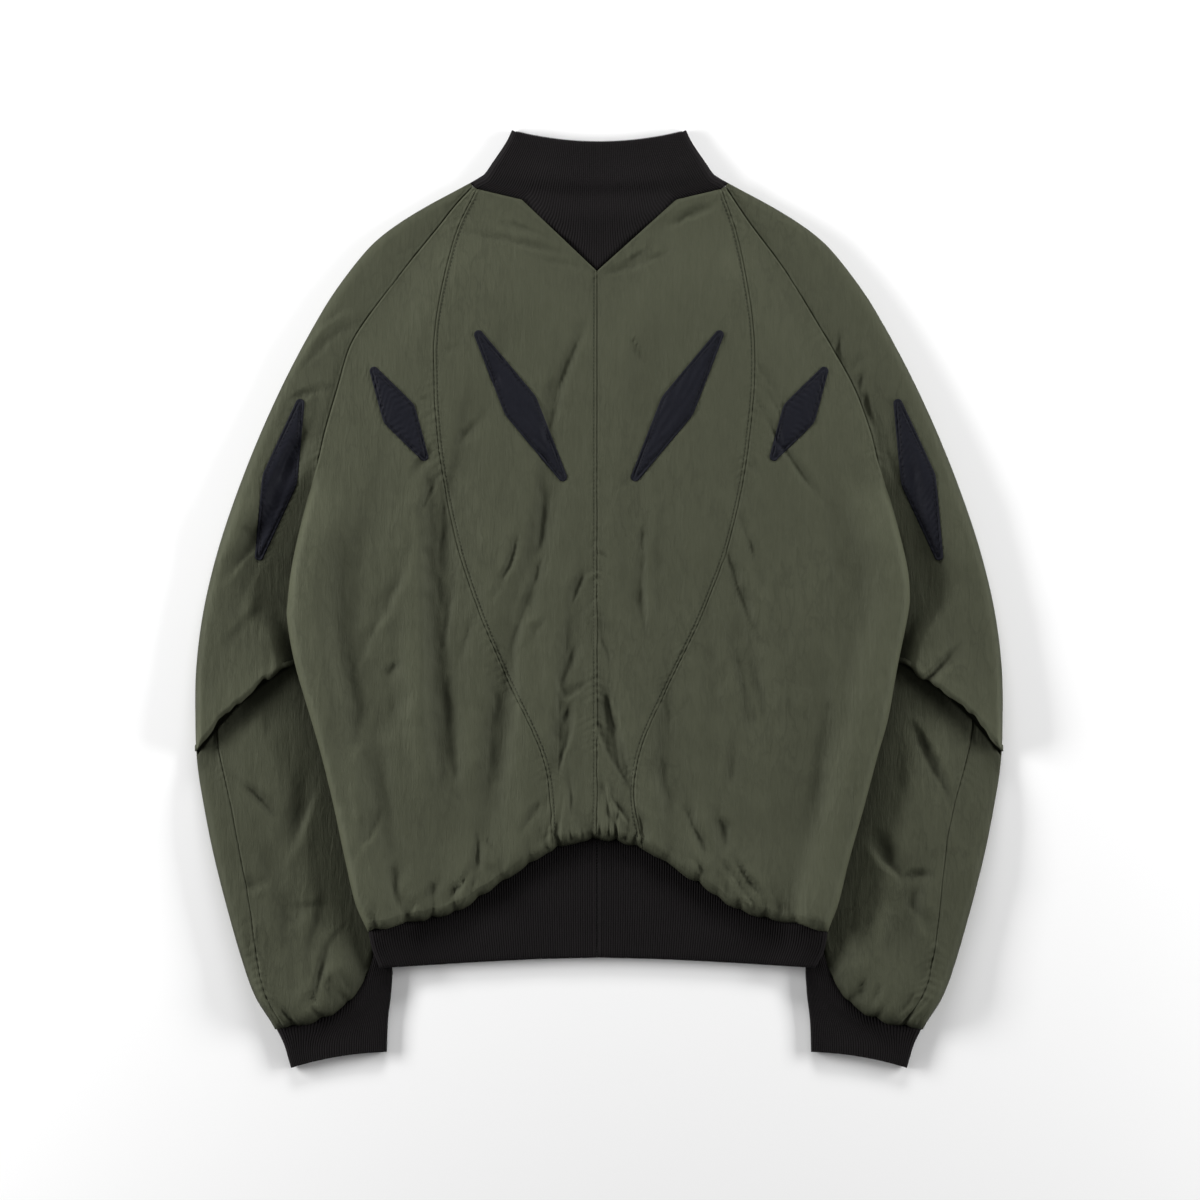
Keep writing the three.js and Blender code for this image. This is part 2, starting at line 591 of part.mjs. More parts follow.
const rollSteps = [{ up: 0, out: 1 }, { up: 0.6, out: 0.8 }, { up: 0.93, out: 0.36 }];
const rollAt = (fromEnd) => rollSteps[fromEnd] ?? { up: 1, out: 0 };
const armholeRound = (y) => smooth((120.6 - y) / 29);

// How a row near the hem bends to follow the arched seam.
function hemShape(a, b, weight) {
  return (u) => {
    const endLine = lerp(hemSeamY(a[0]), hemSeamY(b[0]), u);
    return [0, weight * (hemSeamY(lerp(a[0], b[0], u)) - endLine)];
  };
}

const nearHem = (i) => smooth(1 - (sideRows.length - 1 - i) / 9);

// The point of the side back seam that the middle back and the side back share on a row.
function sideSeamPoint(side, i) {
  const { innerY } = sideRows[i];
  const x = sideSign(side) * readTable(sideBackSeam, 'y', side, innerY);
  return [x, innerY + nearHem(i) * (hemSeamY(x) - sideRows[sideRows.length - 1].innerY)];
}

function sideBackRows(side) {
  const sign = sideSign(side);
  return sideRows.map(({ outerY }, i) => {
    const fromEnd = sideRows.length - 1 - i;
    const a = sideSeamPoint(side, i);
    const b = [sign * bodyEdgeX(side, outerY), outerY];
    b[1] += nearHem(i) * (hemSeamY(b[0]) - sideRows[sideRows.length - 1].outerY);
    const roll = rollAt(fromEnd);
    return makeRow({
      a, b, roundB: armholeRound(outerY), rollUp: roll.up, rollOut: roll.out,
      floorAt: (x, y) => bodyLift(side, x, Math.max(y, -291)), topAt: backHeight,
      shape: hemShape(a, b, nearHem(i)), middle: 3, between: fromEnd < 5 ? 17 : 4,
    });
  });
}

// Middle back: from the middle seam out to the side back seam.
function neckShape(a, b, bend) {
  const depth = neck.corner.y - lerp(a[1], b[1], bend);
  return (u) => [0, depth * (u < bend ? u / bend : (1 - u) / (1 - bend))];
}

function middleBackRows(side) {
  const top = sideRows[0].innerY;
  const bottom = sideRows[sideRows.length - 1].innerY;
  return sideRows.map(({ innerY }, i) => {
    const fromEnd = sideRows.length - 1 - i;
    const a = [backSeamX, lerp(neck.point.y, hemSeamY(backSeamX), (innerY - top) / (bottom - top))];
    const b = sideSeamPoint(side, i);
    const sign = sideSign(side);
    const bend = (sign * neck.corner.x - backSeamX) / (sign * neck.sideBack.x - backSeamX);
    const atNeck = smooth(1 - i / 7);
    const atHem = nearHem(i);
    const toNeck = neckShape(a, b, bend);
    const toHem = hemShape(a, b, atHem);
    const roll = rollAt(fromEnd);
    const row = makeRow({
      a, b, rollUp: roll.up, rollOut: roll.out, topAt: backHeight,
      shape: (u) => [0, atNeck * toNeck(u)[1] + toHem(u)[1]],
    });
    row.shares = [0, 0.02, 0.1, 0.22, 0.35, 0.48, bend, 0.74, 0.88, 0.97, 1];
    return row;
  });
}

// Rows of a sleeve, shared by its upper and lower layer.
function sleeveRowsOf(side) {
  const sign = sideSign(side);
  const innerX = (y) => (y > 120.5 ? bodyEdgeX(side, y) : readTable(sleeveInnerEdge, 'y', side, y));
  return sleeveRows.map(({ innerY, outerY, bow, air, seamLeft = 0, seamRight = 0 }, i) => {
    const fromEnd = sleeveRows.length - 1 - i;
    const a = [sign * innerX(innerY), innerY];
    const b = [sign * readTable(sleeveOuterEdge, 'y', 'x', outerY), outerY];
    const toCuff = Math.hypot(b[0] - sign * 285.1, outerY + 376);
    const roll = rollAt(fromEnd);
    return {
      seamIn: side === 'left' ? seamLeft : seamRight,
      row: makeRow({
        a, b, bow, roundA: armholeRound(innerY), roundB: [0.25, 0.7][i] ?? 1,
        rollUp: roll.up, rollOut: roll.out, middle: fromEnd < 5 ? 11 : 4,
        topAt: (x, y) => sleeveHeight(side, x, y, air, toCuff),
      }),
    };
  });
}

// The upper layer of a sleeve ends at its outer seam, which lies on the edge and then on the upper layer.
function sleeveUpperPoints({ row, seamIn }) {
  const end = row.width - seamIn;
  return stations(row)
    .filter((distance) => distance < end - 3)
    .concat([end])
    .map((distance) => wallPoint(row, distance, true));
}

// The lower layer runs from the outer seam round the edge and back under to the inner edge.
function sleeveLowerPoints({ row, seamIn }) {
  const under = stations({ ...row, middle: 2 }).map((distance) => wallPoint(row, distance, false));
  if (!seamIn) return under;
  const over = stations(row)
    .filter((distance) => distance > row.width - seamIn + 3 && distance < row.width - 0.01)
    .concat([row.width - seamIn])
    .sort((p, q) => q - p)
    .map((distance) => ({ ...wallPoint(row, distance, true), key: 2 - distance / row.width }));
  const edge = under[under.length - 1];
  edge.outer[2] = row.wall + 0.35;
  edge.inner[2] = row.wall + 0.35;
  return [...under, ...over];
}

// Front of the body, which lies on the floor: from the zip out to the armhole and the body's edge.
function frontRows(side) {
  const sign = sideSign(side);
  const outerYs = sideRows.slice(0, -1).map(({ outerY }) => outerY).filter((y, i) => i < 12 || i % 2 === 1);
  outerYs[outerYs.length - 1] = frontHem.outerY;
  return outerYs.map((outerY, i, kept) => {
    const share = i / (kept.length - 1);
    const innerY = lerp(neck.frontMiddle.y, frontHem.innerY, share);
    const a = [sign * zipHalfOpening, innerY];
    const b = [sign * bodyEdgeX(side, outerY), outerY];
    return makeRow({
      a, b, bow: 9 * smooth(1 - i / 5), roundB: armholeRound(outerY), between: 2,
      floorAt: (x, y) => bodyLift(side, x, Math.max(y, -291)),
    });
  });
}

// Collar back with the point that runs down into the back, as one piece of rib.
function collarBackRows() {
  const steps = [0, 0.15, 0.3, 0.5, 0.7, 0.87, 0.95, 1];
  const topY = (x) => lerp(collar.middleY, collar.cornerY, (x / collar.cornerX) ** 2);
  return steps.map((v) => {
    const spread = readTable(collarWidths, 'v', 'half', v);
    const half = lerp(collar.cornerX, neck.side.x, v) * spread;
    const sideY = lerp(collar.cornerY, neck.side.y, v);
    const row = makeRow({
      a: [-half, sideY], b: [half, sideY], radius: ribEdgeRadius, roundA: 1, roundB: 1, wall: ribWall,
      topAt: () => lerp(collar.laid, collar.neckLaid, smooth(v)), middle: 1,
    });
    row.shape = (u) => {
      const across = (u - 0.5) * 2;
      const top = topY(across * collar.cornerX);
      const bottom = necklineY(across * neck.side.x);
      return [0, lerp(top, bottom, v) - sideY];
    };
    return row;
  });
}

// Columns of the collar back, with one at each corner of the neckline.
function collarBackPoints(row) {
  const share = (x) => 0.5 + x / neck.side.x / 2;
  const corners = [neck.sideBack.x, neck.corner.x, 44, 22];
  const marks = [...corners.map((x) => share(-x)), share(backSeamX), ...corners.map(share).reverse()];
  const ends = [0, 0.012, 0.028];
  const inner = marks.filter((u) => u > 0.03 && u < 0.97);
  const shares = [...ends, ...inner, ...ends.map((u) => 1 - u).reverse()];
  return shares.map((u) => wallPoint(row, u * row.width, true));
}

function collarFrontRows(side) {
  const sign = sideSign(side);
  const steps = [0, 0.15, 0.4, 0.87, 0.95, 1];
  return steps.map((v) => {
    const half = lerp(collar.cornerX, neck.side.x, v) * readTable(collarWidths, 'v', 'half', v);
    const a = [sign * zipHalfOpening, lerp(collar.frontMiddleY, neck.frontMiddle.y + 0.4, v)];
    const b = [sign * half, lerp(collar.cornerY, neck.side.y, v)];
    return makeRow({
      a, b, bow: lerp(3, 9, v), radius: ribEdgeRadius, roundB: 1, wall: ribWall, middle: 3,
    });
  });
}

// Places across the hem rib that match the points of the back pieces above it.
function hemShares(side) {
  const last = sideRows.length - 1;
  const middle = pointsOf(middleBackRows(side)[last], true);
  const outer = pointsOf(sideBackRows(side)[last], true);
  const start = middle[0].outer[0];
  const end = outer[outer.length - 1].outer[0];
  return [...middle, ...outer.slice(1)].map((point) => (point.outer[0] - start) / (end - start));
}

// Hem rib: the back half hangs from the arched seam, the front half from a straight one.
function hemRows(side, back) {
  const sign = sideSign(side);
  const steps = [0, 0.12, 0.4, 0.72, 1];
  return steps.map((v) => {
    const outerTop = back ? -291.3 : frontHem.outerY;
    const outerY = lerp(outerTop, -324.7, v);
    const innerTop = back ? hemSeamY(backSeamX) : frontHem.innerY;
    const a = [back ? backSeamX : sign * zipHalfOpening, lerp(innerTop, hemLowerY(0), v)];
    const b = [sign * bodyEdgeX(side, outerY - 0.01), outerY];
    const row = makeRow({
      a, b, radius: ribEdgeRadius, roundB: 1, wall: ribWall, between: 3,
      floorAt: (x, y) => bodyLift(side, x, y), topAt: () => ribLaid,
    });
    if (back) row.shares = hemShares(side);
    row.shape = (u) => {
      const x = lerp(a[0], b[0], u);
      const topLine = lerp(innerTop, outerTop, u);
      const upper = back ? hemSeamY(x) : topLine;
      return [0, lerp(upper, hemLowerY(x), v) - lerp(a[1], b[1], u)];
    };
    return row;
  });
}

// Cuff: a flattened tube of rib.
function cuffPoints(side) {
  const sign = sideSign(side);
  return cuffRows.map(({ innerX, innerY, outerX, outerY, bow }) => {
    const row = makeRow({
      a: [sign * innerX, innerY], b: [sign * outerX, outerY], bow, radius: ribEdgeRadius,
      roundA: 1, roundB: 1, wall: ribWall, middle: 5, topAt: () => ribLaid - 0.3,
    });
    const across = stations(row);
    const over = across.map((distance) => wallPoint(row, distance, true));
    const under = across.slice(1, -1).reverse().map((distance) => ({
      ...wallPoint(row, distance, false), key: 2 - distance / row.width,
    }));
    for (const edge of [over[0], over[over.length - 1]]) {
      edge.outer[2] = row.wall + 0.35;
      edge.inner[2] = row.wall + 0.35;
    }
    return [...over, ...under];
  });
}

const solids = {};
for (const side of ['left', 'right']) {
  solids[`back_middle_${side}`] = panelWall(middleBackRows(side), true);
  solids[`back_side_${side}`] = panelWall(sideBackRows(side), true);
  solids[`sleeve_back_${side}`] = wallSolid(drawBack(sleeveRowsOf(side).map(sleeveUpperPoints)));
  solids[`sleeve_front_${side}`] = wallSolid(drawBack(sleeveRowsOf(side).map(sleeveLowerPoints)));
  solids[`front_${side}`] = panelWall(frontRows(side), false);
}
for (const [name, solid] of Object.entries(solids)) addPiece(name, solidGeometry(solid), 'shell');

addPiece('collar_back', solidGeometry(wallSolid(drawBack(collarBackRows().map(collarBackPoints)))), 'rib');
for (const side of ['left', 'right']) {
  addPiece(`collar_front_${side}`, solidGeometry(panelWall(collarFrontRows(side), false)), 'rib');
  addPiece(`hem_back_${side}`, solidGeometry(panelWall(hemRows(side, true), true)), 'rib');
  addPiece(`hem_front_${side}`, solidGeometry(panelWall(hemRows(side, false), false)), 'rib');
  addPiece(`cuff_${side}`, solidGeometry(wallSolid(cuffPoints(side), true)), 'rib');
}

function manifoldOf(geometry) {
  const bare = geometry.clone();
  bare.deleteAttribute('normal');
  bare.deleteAttribute('uv');
  const merged = mergeVertices(bare, 1e-4);
  return new wasm.Manifold(new wasm.Mesh({
    numProp: 3,
    vertProperties: new Float32Array(merged.attributes.position.array),
    triVerts: new Uint32Array(merged.index.array),
  }));
}

function geometryOf(manifold) {
  const mesh = manifold.getMesh();
  const geometry = new THREE.BufferGeometry();
  geometry.setAttribute('position', new THREE.BufferAttribute(mesh.vertProperties, 3));
  geometry.setIndex(new THREE.BufferAttribute(mesh.triVerts, 1));
  return geometry;
}

// A thin skin over the outer face of a panel, moved out from the panel's own points.
function skinOver(solid) {
  const { positions, triangles } = solid;
  const low = positions.slice();
  const lift = (vertex) => (vertex % 2 === 0 ? patch.clearance : patch.clearance + patch.thickness);
  for (let v = 0; v < positions.length / 3; v += 2) {
    for (const vertex of [v, v + 1]) {
      low[3 * vertex] = positions[3 * v];
      low[3 * vertex + 1] = positions[3 * v + 1];
      low[3 * vertex + 2] = positions[3 * v + 2] + lift(vertex);
    }
  }
  return { positions: low, triangles };
}

// A lozenge with softly rounded points, as an upright prism.
function lozengePrism({ x1, y1, x2, y2 }, sign) {
  const length = Math.hypot(x2 - x1, y2 - y1);
  const tip = 4;
  const outline = new THREE.Shape();
  outline.moveTo(-length / 2 + tip, -tip);
  outline.lineTo(0, -patch.halfWidth);
  outline.lineTo(length / 2 - tip, -tip);
  outline.absarc(length / 2 - tip, 0, tip, -Math.PI / 2, Math.PI / 2, false);
  outline.lineTo(0, patch.halfWidth);
  outline.lineTo(-length / 2 + tip, tip);
  outline.absarc(-length / 2 + tip, 0, tip, Math.PI / 2, (3 * Math.PI) / 2, false);
  const prism = new THREE.ExtrudeGeometry(outline, { depth: 60, bevelEnabled: false, curveSegments: 4 });
  prism.rotateZ(Math.atan2(y2 - y1, sign * (x2 - x1)));
  prism.translate(sign * (x1 + x2) / 2, (y1 + y2) / 2, 0);
  return prism;
}

for (const side of ['left', 'right']) {
  for (const place of patchPlaces) {
    const skin = manifoldOf(solidGeometry(skinOver(solids[`${place.panel}_${side}`])));
    const cut = skin.intersect(manifoldOf(lozengePrism(place, sideSign(side))));
    addPiece(`patch_${place.name}_${side}`, geometryOf(cut), 'patch');
  }
}

function boxPiece(xLow, xHigh, yLow, yHigh, zLow, zHigh) {
  const box = new THREE.BoxGeometry(xHigh - xLow, yHigh - yLow, zHigh - zLow);
  box.translate((xLow + xHigh) / 2, (yLow + yHigh) / 2, (zLow + zHigh) / 2);
  return box;
}

function crossPin(radius, halfLength, y, z) {
  const pin = new THREE.CylinderGeometry(radius, radius, 2 * halfLength, 12);
  pin.rotateZ(Math.PI / 2);
  pin.translate(0, y, z);
  return pin;
}

// Zip: two tapes, the closed chain between them, and the slider near the top.
for (const side of ['left', 'right']) {
  const outer = sideSign(side) * (zipHalfOpening - 0.3);
  const inner = sideSign(side) * zip.tapeInner;
  const tape = boxPiece(
    Math.min(inner, outer), Math.max(inner, outer), zip.bottomY, zip.topY, zip.tapeLow, zip.tapeHigh,
  );
  addPiece(`zip_tape_${side}`, tape, 'tape');
}

function sliderSolid() {
  const { y, halfLength, halfWidth, earThickness, earGap, earHalfLength } = slider;
  const { outerLow, outerHigh, innerLow, innerHigh } = slider;
  const lowEnd = y - halfLength;
  const highEnd = y + halfLength + 2.3;
  const earInner = pull.stemHalf + earGap;
  const earOuter = earInner + earThickness;
  const tongue = [-0.8, 0.8, y + halfLength + 0.3, highEnd];
  let body = manifoldOf(boxPiece(-halfWidth, halfWidth, lowEnd, highEnd, outerLow, outerHigh));
  body = body.add(manifoldOf(boxPiece(-halfWidth, halfWidth, lowEnd, highEnd, innerLow, innerHigh)));
  body = body.add(manifoldOf(boxPiece(...tongue, outerHigh - 0.1, innerLow + 0.1)));
  for (const sign of [-1, 1]) {
    const low = Math.min(sign * earInner, sign * earOuter);
    const [earStart, earEnd] = [y - earHalfLength, y + earHalfLength];
    const ear = boxPiece(low, low + earThickness, earStart, earEnd, 0.05, outerLow + 0.1);
    body = body.add(manifoldOf(ear));
  }
  return body.subtract(manifoldOf(crossPin(slider.holeRadius, halfWidth + 1, y, slider.pinZ)));
}

function pullSolid() {
  const { y, pinZ, earThickness, earGap } = slider;
  const low = pinZ - pull.thickness / 2;
  const high = pinZ + pull.thickness / 2;
  const stem = boxPiece(-pull.stemHalf, pull.stemHalf, y - pull.stemLength, y + pull.behindPin, low, high);
  const plateEnd = y - pull.stemLength + 0.5;
  const plate = boxPiece(-pull.halfWidth, pull.halfWidth, y - pull.length, plateEnd, low, high);
  const hole = new THREE.CylinderGeometry(pull.holeRadius, pull.holeRadius, 4, 16);
  hole.rotateX(Math.PI / 2);
  hole.translate(0, y - pull.length + pull.holeFromEnd, pinZ);
  const pinHalf = pull.stemHalf + earGap + earThickness - 0.1;
  return manifoldOf(stem).add(manifoldOf(plate)).add(manifoldOf(crossPin(pull.pinRadius, pinHalf, y, pinZ)))
    .subtract(manifoldOf(hole));
}

const chainTop = slider.y + slider.halfLength - 0.1;
const chain = boxPiece(-zip.chainHalf, zip.chainHalf, zip.bottomY, chainTop, zip.chainLow, zip.chainHigh);
addPiece('zip_chain', chain, 'metal');
addPiece('zip_slider', geometryOf(sliderSolid()), 'metal');
addPiece('zip_pull', geometryOf(pullSolid()), 'metal');

const box = new THREE.Box3().setFromObject(jacket);
jacket.position.set(-(box.min.x + box.max.x) / 2, -(box.min.y + box.max.y) / 2, -box.min.z);

export default jacket;
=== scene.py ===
import math

import bpy
import numpy as np
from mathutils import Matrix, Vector
from mathutils.bvhtree import BVHTree


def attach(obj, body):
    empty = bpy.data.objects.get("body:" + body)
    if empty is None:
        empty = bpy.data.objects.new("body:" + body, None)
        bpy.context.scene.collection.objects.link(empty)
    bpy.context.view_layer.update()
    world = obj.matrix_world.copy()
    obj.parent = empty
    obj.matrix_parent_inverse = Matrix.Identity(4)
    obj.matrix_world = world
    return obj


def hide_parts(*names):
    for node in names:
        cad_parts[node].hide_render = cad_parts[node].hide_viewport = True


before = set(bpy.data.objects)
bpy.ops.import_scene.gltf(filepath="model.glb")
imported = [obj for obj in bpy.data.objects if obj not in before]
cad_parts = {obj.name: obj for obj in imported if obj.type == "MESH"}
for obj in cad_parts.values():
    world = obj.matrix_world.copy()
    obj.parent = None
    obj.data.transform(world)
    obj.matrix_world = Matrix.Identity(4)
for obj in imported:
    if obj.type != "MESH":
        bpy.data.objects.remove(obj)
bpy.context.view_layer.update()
print("frame loaded")

# The jacket lies on its front. Plan places are in millimetres: +Y to the collar, x = 0 down the middle.
# Creases are placed on the photo's grid, whose step is 0.88 mm and whose middle is at 599, 599.
photoGrid = {"step": 0.88, "middle": 599.0}
cloth = {
    "shellSheet": 1.3, "ribSheet": 2.4, "cuffSheet": 2.0, "patchSheet": 1.0, "shellWall": 4.0,
    "ribWall": 3.0, "edgeRadius": 8.0, "ribRadius": 5.0, "shellLaid": 11.3, "shellTucked": 8.7,
    "lowest": 8.2, "ribLaid": 7.6, "backSeamX": -1.8, "zipHalf": 7.0, "sleeveRise": 50.0,
}
# Levels along +Y where seams and edges begin or end.
level = {
    "seamTop": 360.8, "seamHem": -219.6, "armholeTop": 362.6, "armpit": 120.6, "edgeHem": -291.3,
    "frontHem": -289.4, "frontMiddleHem": -269.3, "hemEnd": -324.7,
}
fullness = {"height": 6.4, "fromNeck": 90.0, "fromSeam": 55.0, "seamShare": 0.7, "startY": 330.0}
lift = {"height": 9.0, "hemHeight": 7.4, "startY": 105.0, "fullY": 42.0, "full": 16.0, "gone": 50.0}


def lerp(a, b, u):
    return a + (b - a) * u


def smooth(u):
    c = np.clip(u, 0.0, 1.0)
    return c * c * (3 - 2 * c)


def makeTable(names, rows):
    values = np.array(rows, float)
    return {name: values[:, i] for i, name in enumerate(names.split())}


def readTable(table, key, value, at):
    k, v = table[key], table[value]
    if k[0] > k[-1]:
        k, v = k[::-1], v[::-1]
    at = np.asarray(at, float)
    i = np.clip(np.searchsorted(k, at, side="right") - 1, 0, len(k) - 2)
    low = np.maximum(np.arange(len(k)) - 1, 0)
    high = np.minimum(np.arange(len(k)) + 1, len(k) - 1)
    slope = (v[high] - v[low]) / (k[high] - k[low])
    h = k[i + 1] - k[i]
    u = np.clip((at - k[i]) / h, 0, 1)
    w = 1 - u
    return (v[i] * (1 + 2 * u) * w * w + v[i + 1] * u * u * (3 - 2 * u)
            + h * slope[i] * u * w * w - h * slope[i + 1] * u * u * w)


# Outlines and seams of the cut, the same as in the solids.
sleeveOuter = makeTable("y x", [
    (366.1, 113.5), (359.9, 125.0), (346.7, 149.6), (333.5, 171.6), (320.3, 190.1), (307.1, 204.2),
    (280.7, 225.3), (254.3, 242.9), (201.5, 271.9), (148.7, 296.6), (95.9, 317.7), (43.1, 335.3),
    (-9.7, 348.0), (-62.5, 354.6), (-115.3, 355.1), (-141.7, 353.8), (-168.1, 350.2), (-220.9, 340.1),
    (-273.7, 326.9), (-326.5, 311.5), (-352.9, 301.0), (-376.0, 285.1)])
bodyOuter = makeTable("y left right", [
    (362.6, 110.9, 110.9), (346.7, 125.8, 121.4), (330.0, 139.0, 132.9), (288.6, 172.5, 163.7),
    (242.9, 206.8, 191.8), (220.9, 219.5, 205.0), (185.7, 230.0, 224.4), (147.0, 241.1, 238.8),
    (120.6, 247.3, 245.5), (84.5, 257.8, 257.4), (51.9, 265.8, 266.2), (22.9, 271.5, 272.4),
    (-0.9, 274.1, 273.7), (-16.7, 274.9, 271.6), (-58.1, 267.5, 263.1), (-106.5, 253.4, 254.3),
    (-137.3, 244.6, 245.5), (-180.4, 234.1, 234.1), (-232.3, 223.0, 219.6), (-269.3, 214.0, 210.4),
    (-291.3, 203.3, 201.5)])
hemOuter = makeTable("y left right", [
    (-291.3, 203.3, 201.5), (-308.9, 199.5, 198.3), (-324.7, 193.0, 190.5)])
sideBackSeam = makeTable("y left right", [
    (360.8, 107.4, 107.4), (326.5, 124.1, 119.7), (282.5, 136.4, 129.4), (235.8, 144.6, 136.1),
    (191.0, 145.2, 136.8), (147.0, 142.6, 132.9), (107.4, 137.4, 127.4), (59.8, 127.6, 117.0),
    (29.0, 119.4, 107.6), (-22.0, 101.4, 87.0), (-72.2, 79.8, 62.8), (-118.8, 57.6, 41.4),
    (-146.1, 47.5, 33.4), (-180.4, 42.7, 31.2), (-219.6, 41.4, 39.0)])
sleeveInner = makeTable("y left right", [
    (120.6, 247.3, 245.5), (91.5, 257.8, 257.4), (60.7, 266.0, 266.2), (34.3, 267.6, 268.0),
    (7.9, 264.5, 264.5), (-31.7, 258.5, 256.0), (-88.9, 245.5, 243.0), (-159.3, 228.0, 228.0),
    (-229.7, 212.5, 210.0), (-278.1, 200.0, 198.0), (-286.9, 195.2, 195.0)])
hemArch = makeTable("x y", [
    (0.0, -209.4), (22.0, -213.0), (41.4, -219.6), (63.4, -233.5), (93.3, -252.5), (118.8, -270.0),
    (140.8, -278.1), (164.6, -282.9), (192.7, -289.3), (204.0, -291.5)])
hemLower = makeTable("x y", [
    (0.0, -315.5), (52.8, -316.8), (113.5, -319.8), (176.0, -323.7), (194.0, -324.7)])
neck = {
    "side": (113.5, 366.1), "sideBack": (107.4, 360.8), "corner": (68.0, 351.5), "point": (-1.8, 288.6),
    "frontY": 315.9, "collarFrontY": 316.2,
}
collar = {
    "cornerX": 76.6, "cornerY": 412.7, "middleY": 402.8, "frontMiddleY": 386.0, "laid": 8.8,
    "neckLaid": 10.4, "rounding": 3.2, "roundedFrom": 0.93,
}
collarWidths = makeTable("v half", [
    (0, 1), (0.15, 0.97), (0.3, 0.955), (0.6, 0.945), (0.87, 0.943), (0.95, 0.985), (1, 1)])
collarBands = makeTable("down rise", [
    (0, 0), (18, 0.2), (36, 1.6), (48, -1.1), (64, 1.3), (79, 0.1), (93, -0.9), (114, 0)])
sideRows = makeTable("inner outer", [
    (360.8, 362.6), (344.0, 346.7), (323.0, 325.0), (287.0, 288.6), (242.0, 242.9), (203.0, 203.0),
    (166.0, 166.0), (140.0, 140.0), (119.0, 120.6), (92.0, 91.5), (62.0, 60.7), (34.0, 34.3), (6.0, 7.9),
    (-24.0, -24.0), (-54.0, -58.0), (-84.0, -94.0), (-112.0, -130.0), (-136.0, -165.0), (-158.0, -198.0),
    (-176.0, -226.0), (-190.0, -248.0), (-201.0, -265.0), (-209.0, -277.0), (-215.0, -285.0),
    (-218.0, -289.6), (-219.6, -291.3)])
sleeveRows = makeTable("inner outer bow air seamLeft seamRight", [
    (362.6, 366.1, 0, 0.2, 0, 0), (346.7, 357.0, 0, 0.8, 0, 0), (325.0, 338.0, 0, 1.2, 0, 0),
    (288.6, 306.0, 0, 2.4, 0, 0), (242.9, 273.0, 0, 3.4, 0, 0), (203.0, 241.0, 0, 4.2, 0, 0),
    (166.0, 200.0, 0, 4.8, 0, 0), (140.0, 168.0, 0, 5.2, 0, 0), (120.6, 143.0, 0, 5.6, 0, 0),
    (91.5, 109.0, 0, 6.0, 0, 0), (60.7, 80.0, 0, 6.2, 0, 0), (34.3, 50.0, 0, 6.2, 0, 0),
    (7.9, 18.0, 0, 6.4, 0, 0), (-16.0, -20.0, 0, 7.0, 0, 0), (-36.0, -70.0, -3, 8.0, 0, 0),
    (-46.0, -112.0, -7, 9.4, 0, 0), (-51.0, -134.0, -9, 9.6, 0, 0),
    (-54.0, -144.0, -9, 1.6, 29, 39), (-64.0, -155.0, -8, 1.4, 28.5, 39),
    (-88.9, -176.0, -4, 2.8, 27.5, 38.5), (-124.0, -201.0, 0, 4.4, 26, 38),
    (-159.3, -228.0, 2, 5.4, 24, 36.5), (-194.0, -256.0, 5, 5.8, 21.5, 31),
    (-224.0, -286.0, 9, 6.2, 18, 24.5), (-246.0, -312.0, 14, 6.8, 13, 19.5),
    (-262.0, -334.0, 19, 7.2, 9.5, 16), (-273.0, -352.0, 24, 7.4, 7.5, 14.5),
    (-280.0, -364.0, 27, 7.2, 6.5, 14.5), (-284.4, -371.6, 28.6, 6.0, 6, 15),
    (-286.4, -375.0, 29.3, 4.6, 6, 15.5), (-286.9, -376.0, 29.4, 3.2, 6, 16)])
cuffRows = makeTable("v innerX innerY outerX outerY bow", [
    (0.0, 193.9, -287.6, 284.6, -377.1, 29.8), (0.25, 182.6, -317.7, 280.2, -385.2, 19),
    (0.5, 182.6, -344.1, 276.6, -393.6, 9), (0.75, 185.6, -370.5, 273.8, -403.0, 2),
    (1.0, 186.6, -398.6, 271.0, -412.7, -3)])

